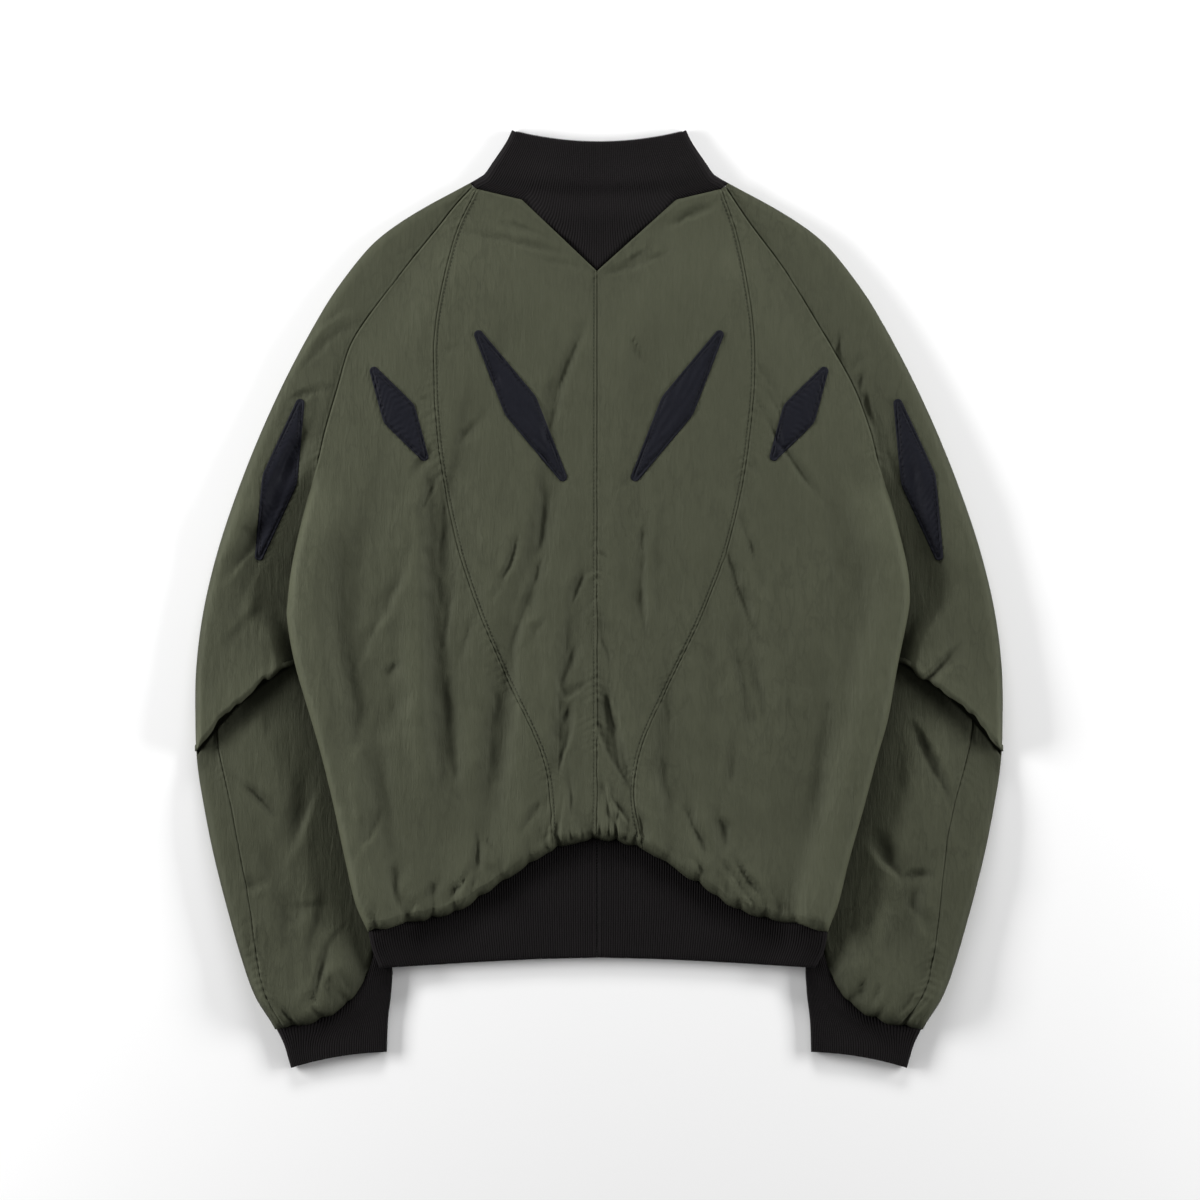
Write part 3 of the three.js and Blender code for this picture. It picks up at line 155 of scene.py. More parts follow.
# Creases, on the photo's grid: three places along each, half width in mm, depth (-) or height (+) in mm.
bodyCreases = [
    (464, 232, 505, 240, 570, 255, 2.5, -1.7), (500, 222, 520, 227, 550, 237, 2.2, -1.2),
    (537, 260, 560, 264, 587, 267, 2.0, -1.0), (591, 316, 567, 370, 545, 445, 4.0, -2.0),
    (545, 480, 542, 530, 532, 580, 7.0, -2.2), (520, 525, 510, 565, 490, 602, 3.0, -1.7),
    (542, 555, 530, 595, 509, 652, 4.0, -1.9), (547, 615, 535, 635, 525, 657, 4.0, -0.9),
    (492, 402, 470, 430, 452, 445, 3.0, -1.3), (502, 372, 495, 380, 492, 387, 2.5, -0.8),
    (442, 352, 454, 350, 464, 345, 2.0, -0.6), (415, 400, 424, 399, 431, 397, 2.0, -0.7),
    (435, 445, 420, 465, 412, 480, 4.0, -1.6), (440, 472, 427, 495, 420, 522, 3.5, -2.0),
    (444, 470, 443, 540, 437, 650, 5.0, -1.6), (456, 565, 449, 615, 441, 652, 3.2, -2.0),
    (475, 612, 467, 632, 457, 665, 3.0, -1.4), (436, 610, 449, 730, 464, 845, 8.0, -1.8),
    (497, 640, 495, 740, 480, 850, 7.0, -1.6), (474, 705, 475, 750, 474, 800, 8.0, 1.4),
    (400, 560, 396, 660, 402, 790, 9.0, -1.5), (525, 560, 512, 650, 516, 740, 7.0, -1.2),
    (818, 470, 838, 560, 842, 690, 10.0, -1.2), (702, 560, 712, 680, 708, 800, 9.0, -1.7),
    (667, 470, 660, 560, 668, 640, 8.0, -1.4), (780, 640, 792, 740, 786, 850, 9.0, -1.3),
    (560, 330, 552, 390, 548, 450, 7.0, -1.2), (640, 330, 636, 420, 640, 520, 7.0, -1.0),
    (376, 470, 360, 560, 352, 650, 9.0, -1.2), (330, 700, 344, 780, 352, 860, 7.0, -1.6),
    (868, 700, 858, 780, 842, 868, 7.0, -1.4),
    (410, 545, 388, 600, 342, 688, 5.0, -1.7), (397, 660, 391, 670, 385, 680, 3.0, -1.0),
    (360, 680, 352, 730, 351, 782, 8.0, -1.7), (387, 700, 380, 725, 376, 745, 5.0, -1.0),
    (380, 808, 370, 830, 355, 855, 4.0, -1.8), (424, 640, 418, 730, 422, 820, 14.0, 1.4),
    (355, 900, 366, 915, 381, 926, 2.4, -1.6), (400, 862, 392, 885, 404, 914, 4.0, -2.4),
    (417, 899, 413, 907, 409, 917, 2.8, -2.2), (440, 878, 432, 890, 424, 902, 4.0, -1.2),
    (472, 865, 460, 885, 446, 904, 3.0, -2.6), (477, 822, 476, 860, 471, 890, 3.8, -2.8),
    (480, 837, 490, 842, 497, 856, 3.0, -1.3), (482, 867, 490, 870, 499, 877, 3.0, -1.1),
    (462, 876, 458, 882, 454, 888, 1.8, 1.4), (547, 800, 530, 815, 519, 838, 3.2, -1.2),
    (592, 567, 577, 587, 569, 612, 3.0, -1.7), (577, 640, 567, 665, 557, 688, 3.0, -1.5),
    (586, 684, 574, 692, 556, 700, 2.8, -1.3), (575, 697, 561, 724, 552, 738, 3.2, -1.7),
    (572, 710, 566, 742, 555, 778, 3.5, -1.7), (571, 770, 570, 795, 577, 833, 4.0, -1.3),
    (597, 552, 604, 555, 611, 563, 2.0, -0.8), (598, 608, 604, 642, 611, 674, 3.5, -1.5),
    (603, 690, 611, 715, 618, 764, 3.8, -2.0), (596, 716, 607, 748, 630, 787, 3.0, -2.1),
    (602, 775, 607, 804, 618, 838, 3.2, -2.2), (609, 783, 618, 806, 632, 823, 2.6, -2.1),
    (649, 535, 642, 585, 648, 650, 5.0, -1.9), (677, 542, 683, 565, 693, 592, 3.0, -1.1),
    (672, 600, 680, 603, 687, 608, 2.0, -0.6), (727, 553, 744, 605, 776, 669, 3.0, -1.7),
    (747, 540, 760, 577, 776, 612, 4.0, -1.1), (727, 622, 742, 680, 756, 762, 5.0, -1.7),
    (735, 622, 755, 675, 766, 732, 4.0, -1.1), (735, 722, 731, 765, 730, 792, 7.0, -1.5),
    (670, 688, 669, 715, 673, 738, 3.0, -1.1), (677, 690, 684, 705, 676, 722, 2.6, -0.9),
    (662, 740, 661, 775, 673, 802, 6.0, -1.8), (685, 803, 697, 835, 712, 872, 4.0, -2.6),
    (709, 805, 724, 830, 719, 860, 5.0, -2.6), (721, 860, 741, 889, 763, 917, 3.0, -2.9),
    (730, 855, 750, 880, 774, 919, 3.0, -2.8), (687, 854, 699, 868, 708, 889, 3.2, -1.1),
    (726, 870, 742, 893, 760, 912, 2.2, 1.6), (770, 884, 779, 908, 788, 922, 3.0, -1.6),
    (786, 904, 792, 912, 798, 922, 2.2, -2.2), (639, 813, 642, 830, 645, 848, 3.2, -2.2),
    (622, 836, 626, 839, 631, 842, 2.0, -1.6), (605, 272, 632, 266, 673, 250, 2.6, -1.9),
    (622, 262, 637, 256, 653, 246, 2.4, -1.4), (660, 227, 688, 217, 721, 201, 3.0, -1.9),
    (627, 326, 637, 350, 651, 369, 2.6, -0.9), (757, 361, 770, 386, 786, 411, 2.6, -1.0),
    (760, 376, 771, 397, 786, 421, 2.4, -0.9), (757, 396, 792, 462, 832, 507, 3.6, -1.8),
    (752, 459, 757, 469, 763, 482, 3.0, -1.0), (740, 508, 749, 542, 764, 572, 4.0, -1.5),
    (641, 474, 630, 480, 619, 493, 4.0, -0.9), (646, 522, 641, 540, 642, 556, 4.0, -1.5),
    (727, 549, 731, 562, 736, 579, 2.6, -1.1), (800, 560, 812, 660, 806, 790, 22.0, 1.0),
    (330, 560, 322, 640, 340, 700, 16.0, 0.9), (690, 640, 700, 700, 700, 760, 10.0, 1.0)]
sleeveCreases = [
    (365, 315, 322, 331, 283, 384, 4.0, 1.1), (371, 322, 334, 337, 298, 375, 3.2, -0.9),
    (312, 389, 300, 394, 288, 401, 3.0, -1.6), (336, 386, 318, 391, 300, 399, 2.6, -1.5),
    (316, 421, 291, 458, 274, 505, 8.0, -3.2), (285, 478, 266, 524, 220, 582, 6.0, -2.8),
    (302, 440, 284, 480, 262, 545, 5.0, 1.3), (270, 470, 246, 520, 216, 560, 12.0, 1.2),
    (310, 478, 297, 548, 291, 602, 6.0, -1.8), (262, 560, 240, 600, 228, 660, 9.0, -1.3),
    (235, 780, 262, 801, 291, 832, 3.2, -2.2), (325, 748, 310, 796, 289, 848, 4.6, -3.2),
    (240, 891, 256, 886, 271, 879, 4.0, -1.1), (285, 911, 310, 906, 341, 905, 5.0, -1.3),
    (352, 920, 324, 960, 314, 1008, 4.6, -3.2), (247, 700, 250, 716, 247, 736, 5.0, -1.4),
    (268, 706, 270, 722, 266, 742, 5.0, -1.2), (293, 850, 286, 880, 290, 900, 9.0, 1.2),
    (330, 975, 327, 988, 329, 1002, 2.4, -2.0), (318, 985, 310, 1000, 300, 1012, 2.4, -1.6),
    (340, 975, 346, 985, 350, 996, 2.4, -1.8), (270, 1000, 272, 1012, 270, 1024, 2.6, -1.4),
    (842, 328, 837, 350, 841, 367, 3.0, -1.6), (866, 371, 860, 382, 857, 393, 3.0, -1.5),
    (866, 351, 858, 360, 851, 371, 2.6, -1.0), (866, 391, 866, 408, 876, 432, 4.0, -2.6),
    (892, 416, 893, 433, 896, 452, 5.0, -1.0), (820, 310, 828, 311, 836, 313, 2.2, -0.6),
    (884, 440, 900, 500, 908, 560, 7.0, -1.6), (912, 615, 906, 640, 900, 664, 4.0, -2.6),
    (962, 642, 934, 672, 912, 688, 3.0, -2.6), (930, 470, 944, 540, 948, 610, 20.0, 1.2),
    (900, 700, 911, 709, 926, 722, 3.2, -2.0), (905, 724, 927, 746, 951, 803, 3.0, -2.2),
    (860, 820, 880, 850, 903, 882, 4.2, -3.2), (902, 876, 918, 874, 936, 876, 3.0, -1.6),
    (905, 893, 921, 915, 936, 947, 5.0, -1.3), (852, 850, 853, 900, 846, 952, 5.0, -1.6),
    (880, 720, 884, 770, 872, 820, 8.0, -1.4), (888, 890, 880, 930, 886, 965, 9.0, 1.2),
    (861, 978, 862, 990, 863, 1002, 2.4, -1.8), (881, 984, 878, 994, 874, 1006, 2.4, -1.8),
    (915, 990, 908, 1002, 900, 1014, 2.6, -1.6), (935, 950, 930, 965, 918, 985, 4.0, -1.0)]
# Long folds: three places from top to bottom, the steep side's width, the slow side's width (to the
# photo's left where it is below zero) and the depth in mm.
bodyFolds = [
    (442, 420, 434, 620, 452, 890, 14.0, 48.0, 6.0), (508, 600, 502, 740, 480, 880, 16.0, -32.0, 4.0),
    (588, 540, 562, 680, 552, 830, 7.0, 30.0, 2.4), (599, 660, 618, 740, 640, 820, 7.0, -20.0, 3.4),
    (716, 490, 752, 640, 772, 800, 9.0, -40.0, 2.6), (680, 600, 664, 740, 684, 880, 12.0, 28.0, 2.8),
    (552, 400, 540, 510, 506, 640, 9.0, 30.0, 2.2), (404, 620, 384, 740, 394, 890, 12.0, -34.0, 1.8),
    (806, 600, 822, 740, 798, 890, 14.0, -44.0, 2.4), (472, 370, 462, 440, 444, 520, 9.0, 26.0, 2.0),
    (657, 280, 648, 400, 652, 520, 12.0, 36.0, 1.8), (350, 540, 344, 660, 360, 800, 14.0, 32.0, 2.2),
    (640, 430, 628, 540, 636, 640, 12.0, 26.0, 1.8), (520, 300, 500, 350, 496, 400, 10.0, 24.0, 1.4)]
sleeveFolds = [
    (304, 416, 272, 506, 228, 596, 10.0, 38.0, 4.0), (328, 730, 312, 796, 284, 866, 5.0, -24.0, 5.6),
    (272, 590, 246, 626, 218, 654, 10.0, 24.0, 2.4), (900, 420, 916, 510, 922, 610, 10.0, -32.0, 3.2),
    (868, 370, 880, 440, 884, 540, 10.0, 26.0, 2.6), (902, 706, 926, 752, 958, 816, 5.0, -26.0, 3.4),
    (850, 812, 872, 846, 910, 888, 4.5, 20.0, 5.0), (256, 840, 282, 900, 294, 970, 11.0, 28.0, 2.8),
    (934, 840, 912, 910, 904, 976, 11.0, -28.0, 2.8), (886, 700, 896, 760, 900, 800, 9.0, -20.0, 2.8),
    (330, 880, 316, 930, 306, 990, 8.0, 22.0, 2.6), (860, 850, 842, 900, 854, 950, 7.0, 20.0, 3.4)]
patchPlaces = {
    "middle": {"panel": "back_middle", "x1": 108.0, "y1": 236.0, "x2": 30.0, "y2": 104.0},
    "side": {"panel": "back_side", "x1": 200.0, "y1": 204.0, "x2": 152.0, "y2": 122.0},
    "sleeve": {"panel": "sleeve_back", "x1": 262.0, "y1": 176.0, "x2": 300.0, "y2": 34.0},
}
patchLook = {
    "halfWidth": 16.0, "tip": 4.0, "stand": 1.15, "puff": 0.5, "rippleEvery": 5.6, "dipAt": 2.3,
    "stitchIn": 2.4, "stitchFromTip": 5.5,
}


def signOf(side):
    return -1.0 if side == "left" else 1.0


def bodyEdgeX(side, y):
    y = np.asarray(y, float)
    inBody = readTable(bodyOuter, "y", side, np.maximum(y, level["edgeHem"]))
    inHem = readTable(hemOuter, "y", side, np.minimum(y, level["edgeHem"]))
    return np.where(y > level["edgeHem"], inBody, inHem)


def hemSeamY(x):
    return readTable(hemArch, "x", "y", np.abs(x))


def hemLowerY(x):
    return readTable(hemLower, "x", "y", np.abs(x))


def bodyLift(side, x, y):
    fromEdge = bodyEdgeX(side, y) - np.abs(x)
    along = lift["height"] * smooth((lift["startY"] - y) / (lift["startY"] - lift["fullY"]))
    atHem = lerp(along, lift["hemHeight"], smooth((-285 - y) / 35))
    high = np.where(y < -285, atHem, along)
    return high * (1 - smooth((fromEdge - lift["full"]) / (lift["gone"] - lift["full"])))


# Even, seeded noise on a square lattice, from 0 to 1.
def latticeNoise(x, y, seed):
    xi, yi = np.floor(x), np.floor(y)
    fx, fy = smooth(x - xi), smooth(y - yi)

    def corner(i, j):
        value = np.sin(i * 127.1 + j * 311.7 + seed * 74.7) * 43758.5453
        return value - np.floor(value)

    low = lerp(corner(xi, yi), corner(xi + 1, yi), fx)
    high = lerp(corner(xi, yi + 1), corner(xi + 1, yi + 1), fx)
    return lerp(low, high, fy)


def layeredNoise(x, y, seed):
    return (latticeNoise(x, y, seed) * 0.55 + latticeNoise(x * 2.03, y * 2.03, seed + 9) * 0.3
            + latticeNoise(x * 4.1, y * 4.1, seed + 17) * 0.15)


# The nearest place on a curve through three places: how far off it is, how far along, and on which side.
def besideCurve(px, py, places):
    (ax, ay), (bx, by), (cx, cy) = places
    best = np.full(px.shape, 1e9)
    along, beside = np.zeros(px.shape), np.zeros(px.shape)
    mx, my = 2 * bx - (ax + cx) / 2, 2 * by - (ay + cy) / 2
    legs = 8
    for leg in range(legs):
        t0, t1 = leg / legs, (leg + 1) / legs
        x0 = (1 - t0) ** 2 * ax + 2 * t0 * (1 - t0) * mx + t0 * t0 * cx
        y0 = (1 - t0) ** 2 * ay + 2 * t0 * (1 - t0) * my + t0 * t0 * cy
        x1 = (1 - t1) ** 2 * ax + 2 * t1 * (1 - t1) * mx + t1 * t1 * cx
        y1 = (1 - t1) ** 2 * ay + 2 * t1 * (1 - t1) * my + t1 * t1 * cy
        dx, dy = x1 - x0, y1 - y0
        u = np.clip(((px - x0) * dx + (py - y0) * dy) / (dx * dx + dy * dy), 0, 1)
        away = np.hypot(px - x0 - u * dx, py - y0 - u * dy)
        closer = away < best
        best = np.where(closer, away, best)
        along = np.where(closer, (leg + u) / legs, along)
        beside = np.where(closer, np.sign((px - x0) * dy - (py - y0) * dx), beside)
    return best, along, beside


def onPhotoGrid(row):
    step, middle = photoGrid["step"], photoGrid["middle"]
    return [((row[i] - middle) * step, (middle - row[i + 1]) * step) for i in (0, 2, 4)]


def nearTo(x, y, places, reach):
    xs, ys = zip(*places)
    return (x > min(xs) - reach) & (x < max(xs) + reach) & (y > min(ys) - reach) & (y < max(ys) + reach)


def unsteady(x, y, seed):
    broad, fine = layeredNoise(x / 19, y / 19, seed), latticeNoise(x / 6, y / 8, seed + 1)
    return 2.6 * (broad - 0.5) + 1.5 * (fine - 0.5)


# One crease: a soft valley or ridge, steeper on one side, with low shoulders beside it.
creaseLook = {
    "depth": 1.3, "shoulder": 0.12, "skew": 0.45, "slender": 0.25, "overrun": 0.22, "changeEvery": 16.0,
}


def creaseField(x, y, creases):
    total = np.zeros_like(x)
    warpX, warpY = x + unsteady(x, y, 3), y + unsteady(x, y, 5)
    for number, row in enumerate(creases):
        places, width, height = onPhotoGrid(row), row[6], row[7]
        (ax, ay), (bx, by), (cx, cy) = places
        further = creaseLook["overrun"]
        places = [(ax + further * (ax - bx), ay + further * (ay - by)), (bx, by),
                  (cx + further * (cx - bx), cy + further * (cy - by))]
        near = nearTo(x, y, places, 4.2 * width)
        if not near.any():
            continue
        changes = math.dist(places[0], places[2]) / creaseLook["changeEvery"]
        best, along, beside = besideCurve(warpX[near], warpY[near], places)
        lean = creaseLook["skew"] * (1 if number % 2 else -1)
        middling = np.sin(math.pi * np.clip(along, 0, 1))
        ragged = 0.65 + 0.7 * latticeNoise(along * changes + number, along * 0, 15)
        wide = width * ragged * (creaseLook["slender"] + (1.08 - creaseLook["slender"]) * np.sqrt(middling))
        across = best / (wide * (1 + lean * beside * np.tanh(best / wide)))
        fade = smooth(along * 2.2) * smooth((1 - along) * 2.2)
        uneven = 0.6 + 0.8 * latticeNoise(along * changes + number, along * 0, 11)
        valley = np.exp(-across ** 2) - creaseLook["shoulder"] * np.exp(-(((across - 2.2) / 1.2) ** 2))
        total[near] += creaseLook["depth"] * height * uneven * valley * fade
    return total


# Long folds: a steep side under a low lip, and a slow rise on the other side.
foldLook = {"lip": 0.3, "lipAt": 1.9, "lipWidth": 1.5}


def foldField(x, y, folds):
    total = np.zeros_like(x)
    warpX, warpY = x + unsteady(x, y, 7), y + unsteady(x, y, 9)
    for number, row in enumerate(folds):
        places, steep, slow, depth = onPhotoGrid(row), row[6], row[7], row[8]
        near = nearTo(x, y, places, abs(slow) + 12)
        if not near.any():
            continue
        best, along, beside = besideCurve(warpX[near], warpY[near], places)
        toSlow = -best * beside * np.sign(slow)
        low = np.where(toSlow > 0, 1 - smooth(toSlow / abs(slow)), 1 - smooth(-toSlow / steep))
        toLip = (toSlow + foldLook["lipAt"] * steep) / (foldLook["lipWidth"] * steep)
        lip = foldLook["lip"] * np.exp(-(toLip ** 2))
        fade = smooth(along * 2.6) * smooth((1 - along) * 2.6)
        uneven = 0.75 + 0.5 * latticeNoise(along * 4 + number, along * 0, 13)
        total[near] += depth * uneven * (lip - low) * fade
    return total


# Pleats and puffs above a gathered seam, from the place along it and the distance from it.
gathers = {
    "pleatHeight": 1.2, "puffHeight": 2.0, "fineHeight": 0.55, "pinchDepth": 3.0, "bubble": 3.4,
    "reach": 34.0, "scallop": 3.4, "scallopWidth": 25.0,
}


# Zero where a gathered edge is pinched in, and one in the middle of a puff.
def puffAt(along, seed):
    phase = math.pi * along / gathers["scallopWidth"] + 2.6 * latticeNoise(along / 43, along * 0, seed)
    return np.abs(np.sin(phase))


def gatherHeight(along, away, seed):
    wander = 5.0 * latticeNoise(along / 23, away / 40, seed)
    strength = smooth(2.2 * latticeNoise(along / 24, along * 0, seed + 4) - 0.6)
    pleats = np.sin(2 * math.pi * along / 10.5 + wander * 2.2 + 1.2 * np.sin(away / 9))
    fine = np.sin(2 * math.pi * along / 4.9 + wander * 2.4)
    puffs = np.sin(2 * math.pi * along / 49 + 1.4 * np.sin(along / 71) + 0.6 * np.sin(away / 21))
    pleatPart = gathers["pleatHeight"] * strength * pleats * np.exp(-away / (8 + 12 * strength))
    finePart = gathers["fineHeight"] * (0.3 + strength) * fine * np.exp(-away / 7.0)
    puffPart = gathers["puffHeight"] * puffs * np.exp(-away / gathers["reach"])
    bubble = gathers["bubble"] * np.exp(-(((away - 18) / gathers["reach"]) ** 2))
    drift = along + 3.0 * (latticeNoise(along / 9, away / 12, seed + 3) - 0.5)
    pinch = gathers["pinchDepth"] * np.exp(-((puffAt(drift, seed) / 0.3) ** 2)) * np.exp(-away / 15)
    ripples = (pleatPart + finePart) * smooth(away / 2.5)
    return ripples + puffPart * smooth(away / 10) + bubble - pinch * smooth(away / 2.0)


# How far the puffed cloth hangs over the rib that it is gathered to.
def scallop(along, seed):
    fine = latticeNoise(along / 4.5, along * 0, seed + 1)
    return gathers["scallop"] * (puffAt(along, seed) ** 0.6 - 0.35) + 1.1 * fine


# The relief beside a sewn seam: the groove, the turned allowance, the stitch line's dip and small puckers.
seamLook = {
    "groove": 0.6, "allowance": 0.35, "stitchAt": 2.8, "stitchDip": 0.5, "pucker": 0.42, "pitch": 6.6,
}


def seamRelief(away, along, seed, stitched=1.0, pucker=1.0):
    groove = -seamLook["groove"] * np.exp(-((away / 0.7) ** 2))
    turned = seamLook["allowance"] * np.exp(-(((away - 1.5) / 0.9) ** 2))
    dip = -seamLook["stitchDip"] * stitched * np.exp(-(((away - seamLook["stitchAt"]) / 0.6) ** 2))
    wander = 4.0 * latticeNoise(along / 17, away / 30, seed)
    strength = pucker * smooth(1.9 * latticeNoise(along / 37, along * 0, seed + 2) - 0.35)
    drift = along + 9.0 * latticeNoise(along / 13, away / 50, seed + 8) + 0.5 * away
    ripple = np.sin(2 * math.pi * drift / seamLook["pitch"] + wander)
    reach = 5 + 9 * latticeNoise(along / 11, along * 0, seed + 6)
    return groove + turned + dip + seamLook["pucker"] * (0.25 + strength) * ripple * np.exp(-away / reach)


# Keeps the cloth above a lowest level, bending softly towards it.
def settle(top, low, bend=2.0):
    below = np.maximum(0, low + bend - top)
    return np.where(below > 0, low + bend * np.exp(-below / bend), top)


# Small uneven crinkles of the light nylon, mostly upright.
def crinkleField(x, y, seed):
    lean = x + 0.2 * y + 9 * latticeNoise(x / 60, y / 60, seed + 7)
    broad = layeredNoise(lean / 42, y / 130, seed) - 0.5
    ridge = 1 - np.abs(2 * layeredNoise(lean / 15, y / 52, seed + 1) - 1)
    streak = 1 - np.abs(2 * latticeNoise(x / 7.5 + 3, y / 34, seed + 2) - 1)
    cross = 1 - np.abs(2 * layeredNoise(x / 17, y / 8 + 0.1 * x, seed + 3) - 1)
    lower = lerp(0.65, 1.15, smooth((230 - y) / 260))
    return lower * (2.6 * broad + 1.0 * (ridge - 0.6) + 0.55 * (streak - 0.5) + 0.3 * (cross - 0.6))


# A lozenge's middle, its direction and its length.
def lozengeLine(side, name):
    place, sign = patchPlaces[name], signOf(side)
    x1, y1, x2, y2 = sign * place["x1"], place["y1"], sign * place["x2"], place["y2"]
    length = math.hypot(x2 - x1, y2 - y1)
    return (x1 + x2) / 2, (y1 + y2) / 2, (x2 - x1) / length, (y2 - y1) / length, length


def lozengeAway(side, name, x, y):
    middleX, middleY, dx, dy, length = lozengeLine(side, name)
    px, py = x - middleX, y - middleY
    along, across = np.abs(px * dx + py * dy), np.abs(-px * dy + py * dx)
    slope = math.atan2(patchLook["halfWidth"], length / 2)
    away = along * math.sin(slope) + across * math.cos(slope) - length / 2 * math.sin(slope)
    return away, along + across


def patchPuckers(side, name, x, y):
    away, along = lozengeAway(side, name, x, y)
    out = np.maximum(away, 0)
    turns = 2 * math.pi * along / patchLook["rippleEvery"]
    ripple = np.sin(turns + 4 * latticeNoise(along / 13, out / 30, 21))
    return (0.3 * ripple - 0.5 * np.exp(-((away / 1.6) ** 2))) * np.exp(-out / 7) * (np.abs(away) < 40)


def necklineY(x):
    reach = np.abs(x)
    (cornerX, cornerY), (pointX, pointY) = neck["corner"], neck["point"]
    (seamX, seamY), (sideX, sideY) = neck["sideBack"], neck["side"]
    rise = (x - pointX) / np.where(x > pointX, cornerX - pointX, -pointX - cornerX)
    inside = lerp(pointY, cornerY, rise)
    beside = lerp(cornerY, seamY, (reach - cornerX) / (seamX - cornerX))
    outside = lerp(seamY, sideY, (reach - seamX) / (sideX - seamX))
    return np.where(reach > seamX, outside, np.where(reach > cornerX, beside, inside))


def fullnessAt(side, x, y):
    fromEdge = bodyEdgeX(side, y) - np.abs(x)
    upper = fullness["seamShare"] * smooth((fullness["startY"] - y) / 200)
    besideSeam = lerp(upper, 1, smooth((118 - y) / 40))
    share = lerp(besideSeam, 1, smooth(fromEdge / fullness["fromSeam"]))
    return fullness["height"] * share * smooth((necklineY(x) - y) / fullness["fromNeck"])


def bodyTop(side, x, y):
    aboveHem = np.maximum(0, y - hemSeamY(x)) * 0.9
    plain = cloth["shellLaid"] + fullnessAt(side, x, y) + crinkleField(x, y, 31)
    folded = plain + creaseField(x, y, bodyCreases) + foldField(x, y, bodyFolds)
    return settle(folded + gatherHeight(x * 1.08, aboveHem, 41), cloth["lowest"])


def sleeveTop(side, x, y, air, toCuff, alongCuff, nearFold=0.0):
    outside = np.abs(x) - bodyEdgeX(side, np.maximum(y, -324))
    rise = lerp(cloth["sleeveRise"], 15.0, smooth((12 - y) / 50) * nearFold)
    free = lerp(1, smooth((outside - 3.0) / rise), smooth((120 - y) / 34))
    full = (2 * cloth["shellWall"] + 0.6 + air + creaseField(x, y, sleeveCreases)
            + foldField(x, y, sleeveFolds) + 0.8 * crinkleField(x, y, 37)
            + gatherHeight(alongCuff, toCuff, 43) * smooth((90 - toCuff) / 30))
    return lerp(cloth["shellTucked"] - 1.2, settle(full, cloth["lowest"] - 1.5), free)


def edgeUp(away, radius, turned):
    c = np.clip(np.sin(math.pi / 2 * turned) - away / radius, 0, 1)
    return np.sqrt(1 - c * c)


# Places across a row: dense at both ends, where the cloth turns or is sewn.
endSteps = np.array([0, 0.05, 0.13, 0.24, 0.35, 0.5, 0.7, 1.0])


def acrossSteps(width, count):
    reach = np.minimum(cloth["edgeRadius"], 0.3 * width)[:, None]
    middle = np.linspace(0, 1, count + 2)[None, 1:-1]
    between = reach + (width[:, None] - 2 * reach) * middle
    return np.concatenate([reach * endSteps, between, width[:, None] - reach * endSteps[::-1]], 1)


def rowPlan(a, b, bow, across):
    d = b - a
    width = np.hypot(d[:, 0], d[:, 1])
    sign = np.where(d[:, 0] > 0, 1.0, -1.0)
    upX, upY = -d[:, 1] / width * sign, d[:, 0] / width * sign
    u = across / width[:, None]
    arch = 4 * u * (1 - u) * bow[:, None]
    x = a[:, 0, None] + d[:, 0, None] * u - upX[:, None] * arch
    y = a[:, 1, None] + d[:, 1, None] * u - upY[:, None] * arch
    return x, y, u


def liftTo(x, y, top, up, base=0.0, wall=cloth["shellWall"]):
    edge = wall + 0.4
    return np.stack([x, y, base + edge + (top - edge) * up], -1)


def layUnder(x, y, up, base=0.0, wall=cloth["shellWall"]):
    edge = wall + 0.3
    return np.stack([x, y, base + edge * (1 - up)], -1)


def gridNormals(points):
    du = np.gradient(points, axis=0)
    dv = np.gradient(points, axis=1)
    normal = np.cross(du, dv)
    return normal / np.maximum(np.linalg.norm(normal, axis=-1, keepdims=True), 1e-9)


# A closed thin sheet from a grid of outer points. A wrapped grid is a tube.
def sheetMesh(points, plain, thickness, facing, wrap=False):
    m, n = points.shape[:2]
    if wrap:
        padded = np.concatenate([plain[:, -1:], plain, plain[:, :1]], 1)
        normal = gridNormals(padded)[:, 1:-1]
    else:
        normal = gridNormals(plain)
    seen = normal[:, : n // 2] if wrap else normal
    flip = np.sign(seen[..., 2].mean()) != facing
    if flip:
        normal = -normal
    inner = plain - normal * thickness
    verts = np.concatenate([points.reshape(-1, 3), inner.reshape(-1, 3)])
    index = np.arange(m * n).reshape(m, n)
    right = np.roll(index, -1, 1) if wrap else index[:, 1:]
    left = index if wrap else index[:, :-1]
    quads = np.stack([left[:-1], right[:-1], right[1:], left[1:]], -1).reshape(-1, 4)
    if not flip:
        quads = quads[:, ::-1]
    if wrap:
        loops = [np.append(index[0], index[0, 0]), np.append(index[-1], index[-1, 0])[::-1]]
    else:
        loops = [index[0], index[-1][::-1], index[:, 0][::-1], index[:, -1]]
    rim = np.concatenate([
        np.stack([line[:-1], line[1:], line[1:] + m * n, line[:-1] + m * n], -1) for line in loops])
    if flip:
        rim = rim[:, ::-1]
    return verts, np.concatenate([quads, quads[:, ::-1] + m * n, rim])


# Makes an object of a mesh, in millimetres, that rides the jacket.
def makeObject(name, verts, faces, material, smoothFaces=True):
    mesh = bpy.data.meshes.new(name)
    mesh.from_pydata((np.asarray(verts) * 0.001).tolist(), [], faces)
    mesh.polygons.foreach_set("use_smooth", [smoothFaces] * len(mesh.polygons))
    mesh.materials.append(material)
    obj = bpy.data.objects.new(name, mesh)
    bpy.context.collection.objects.link(obj)
    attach(obj, "jacket")
    return obj


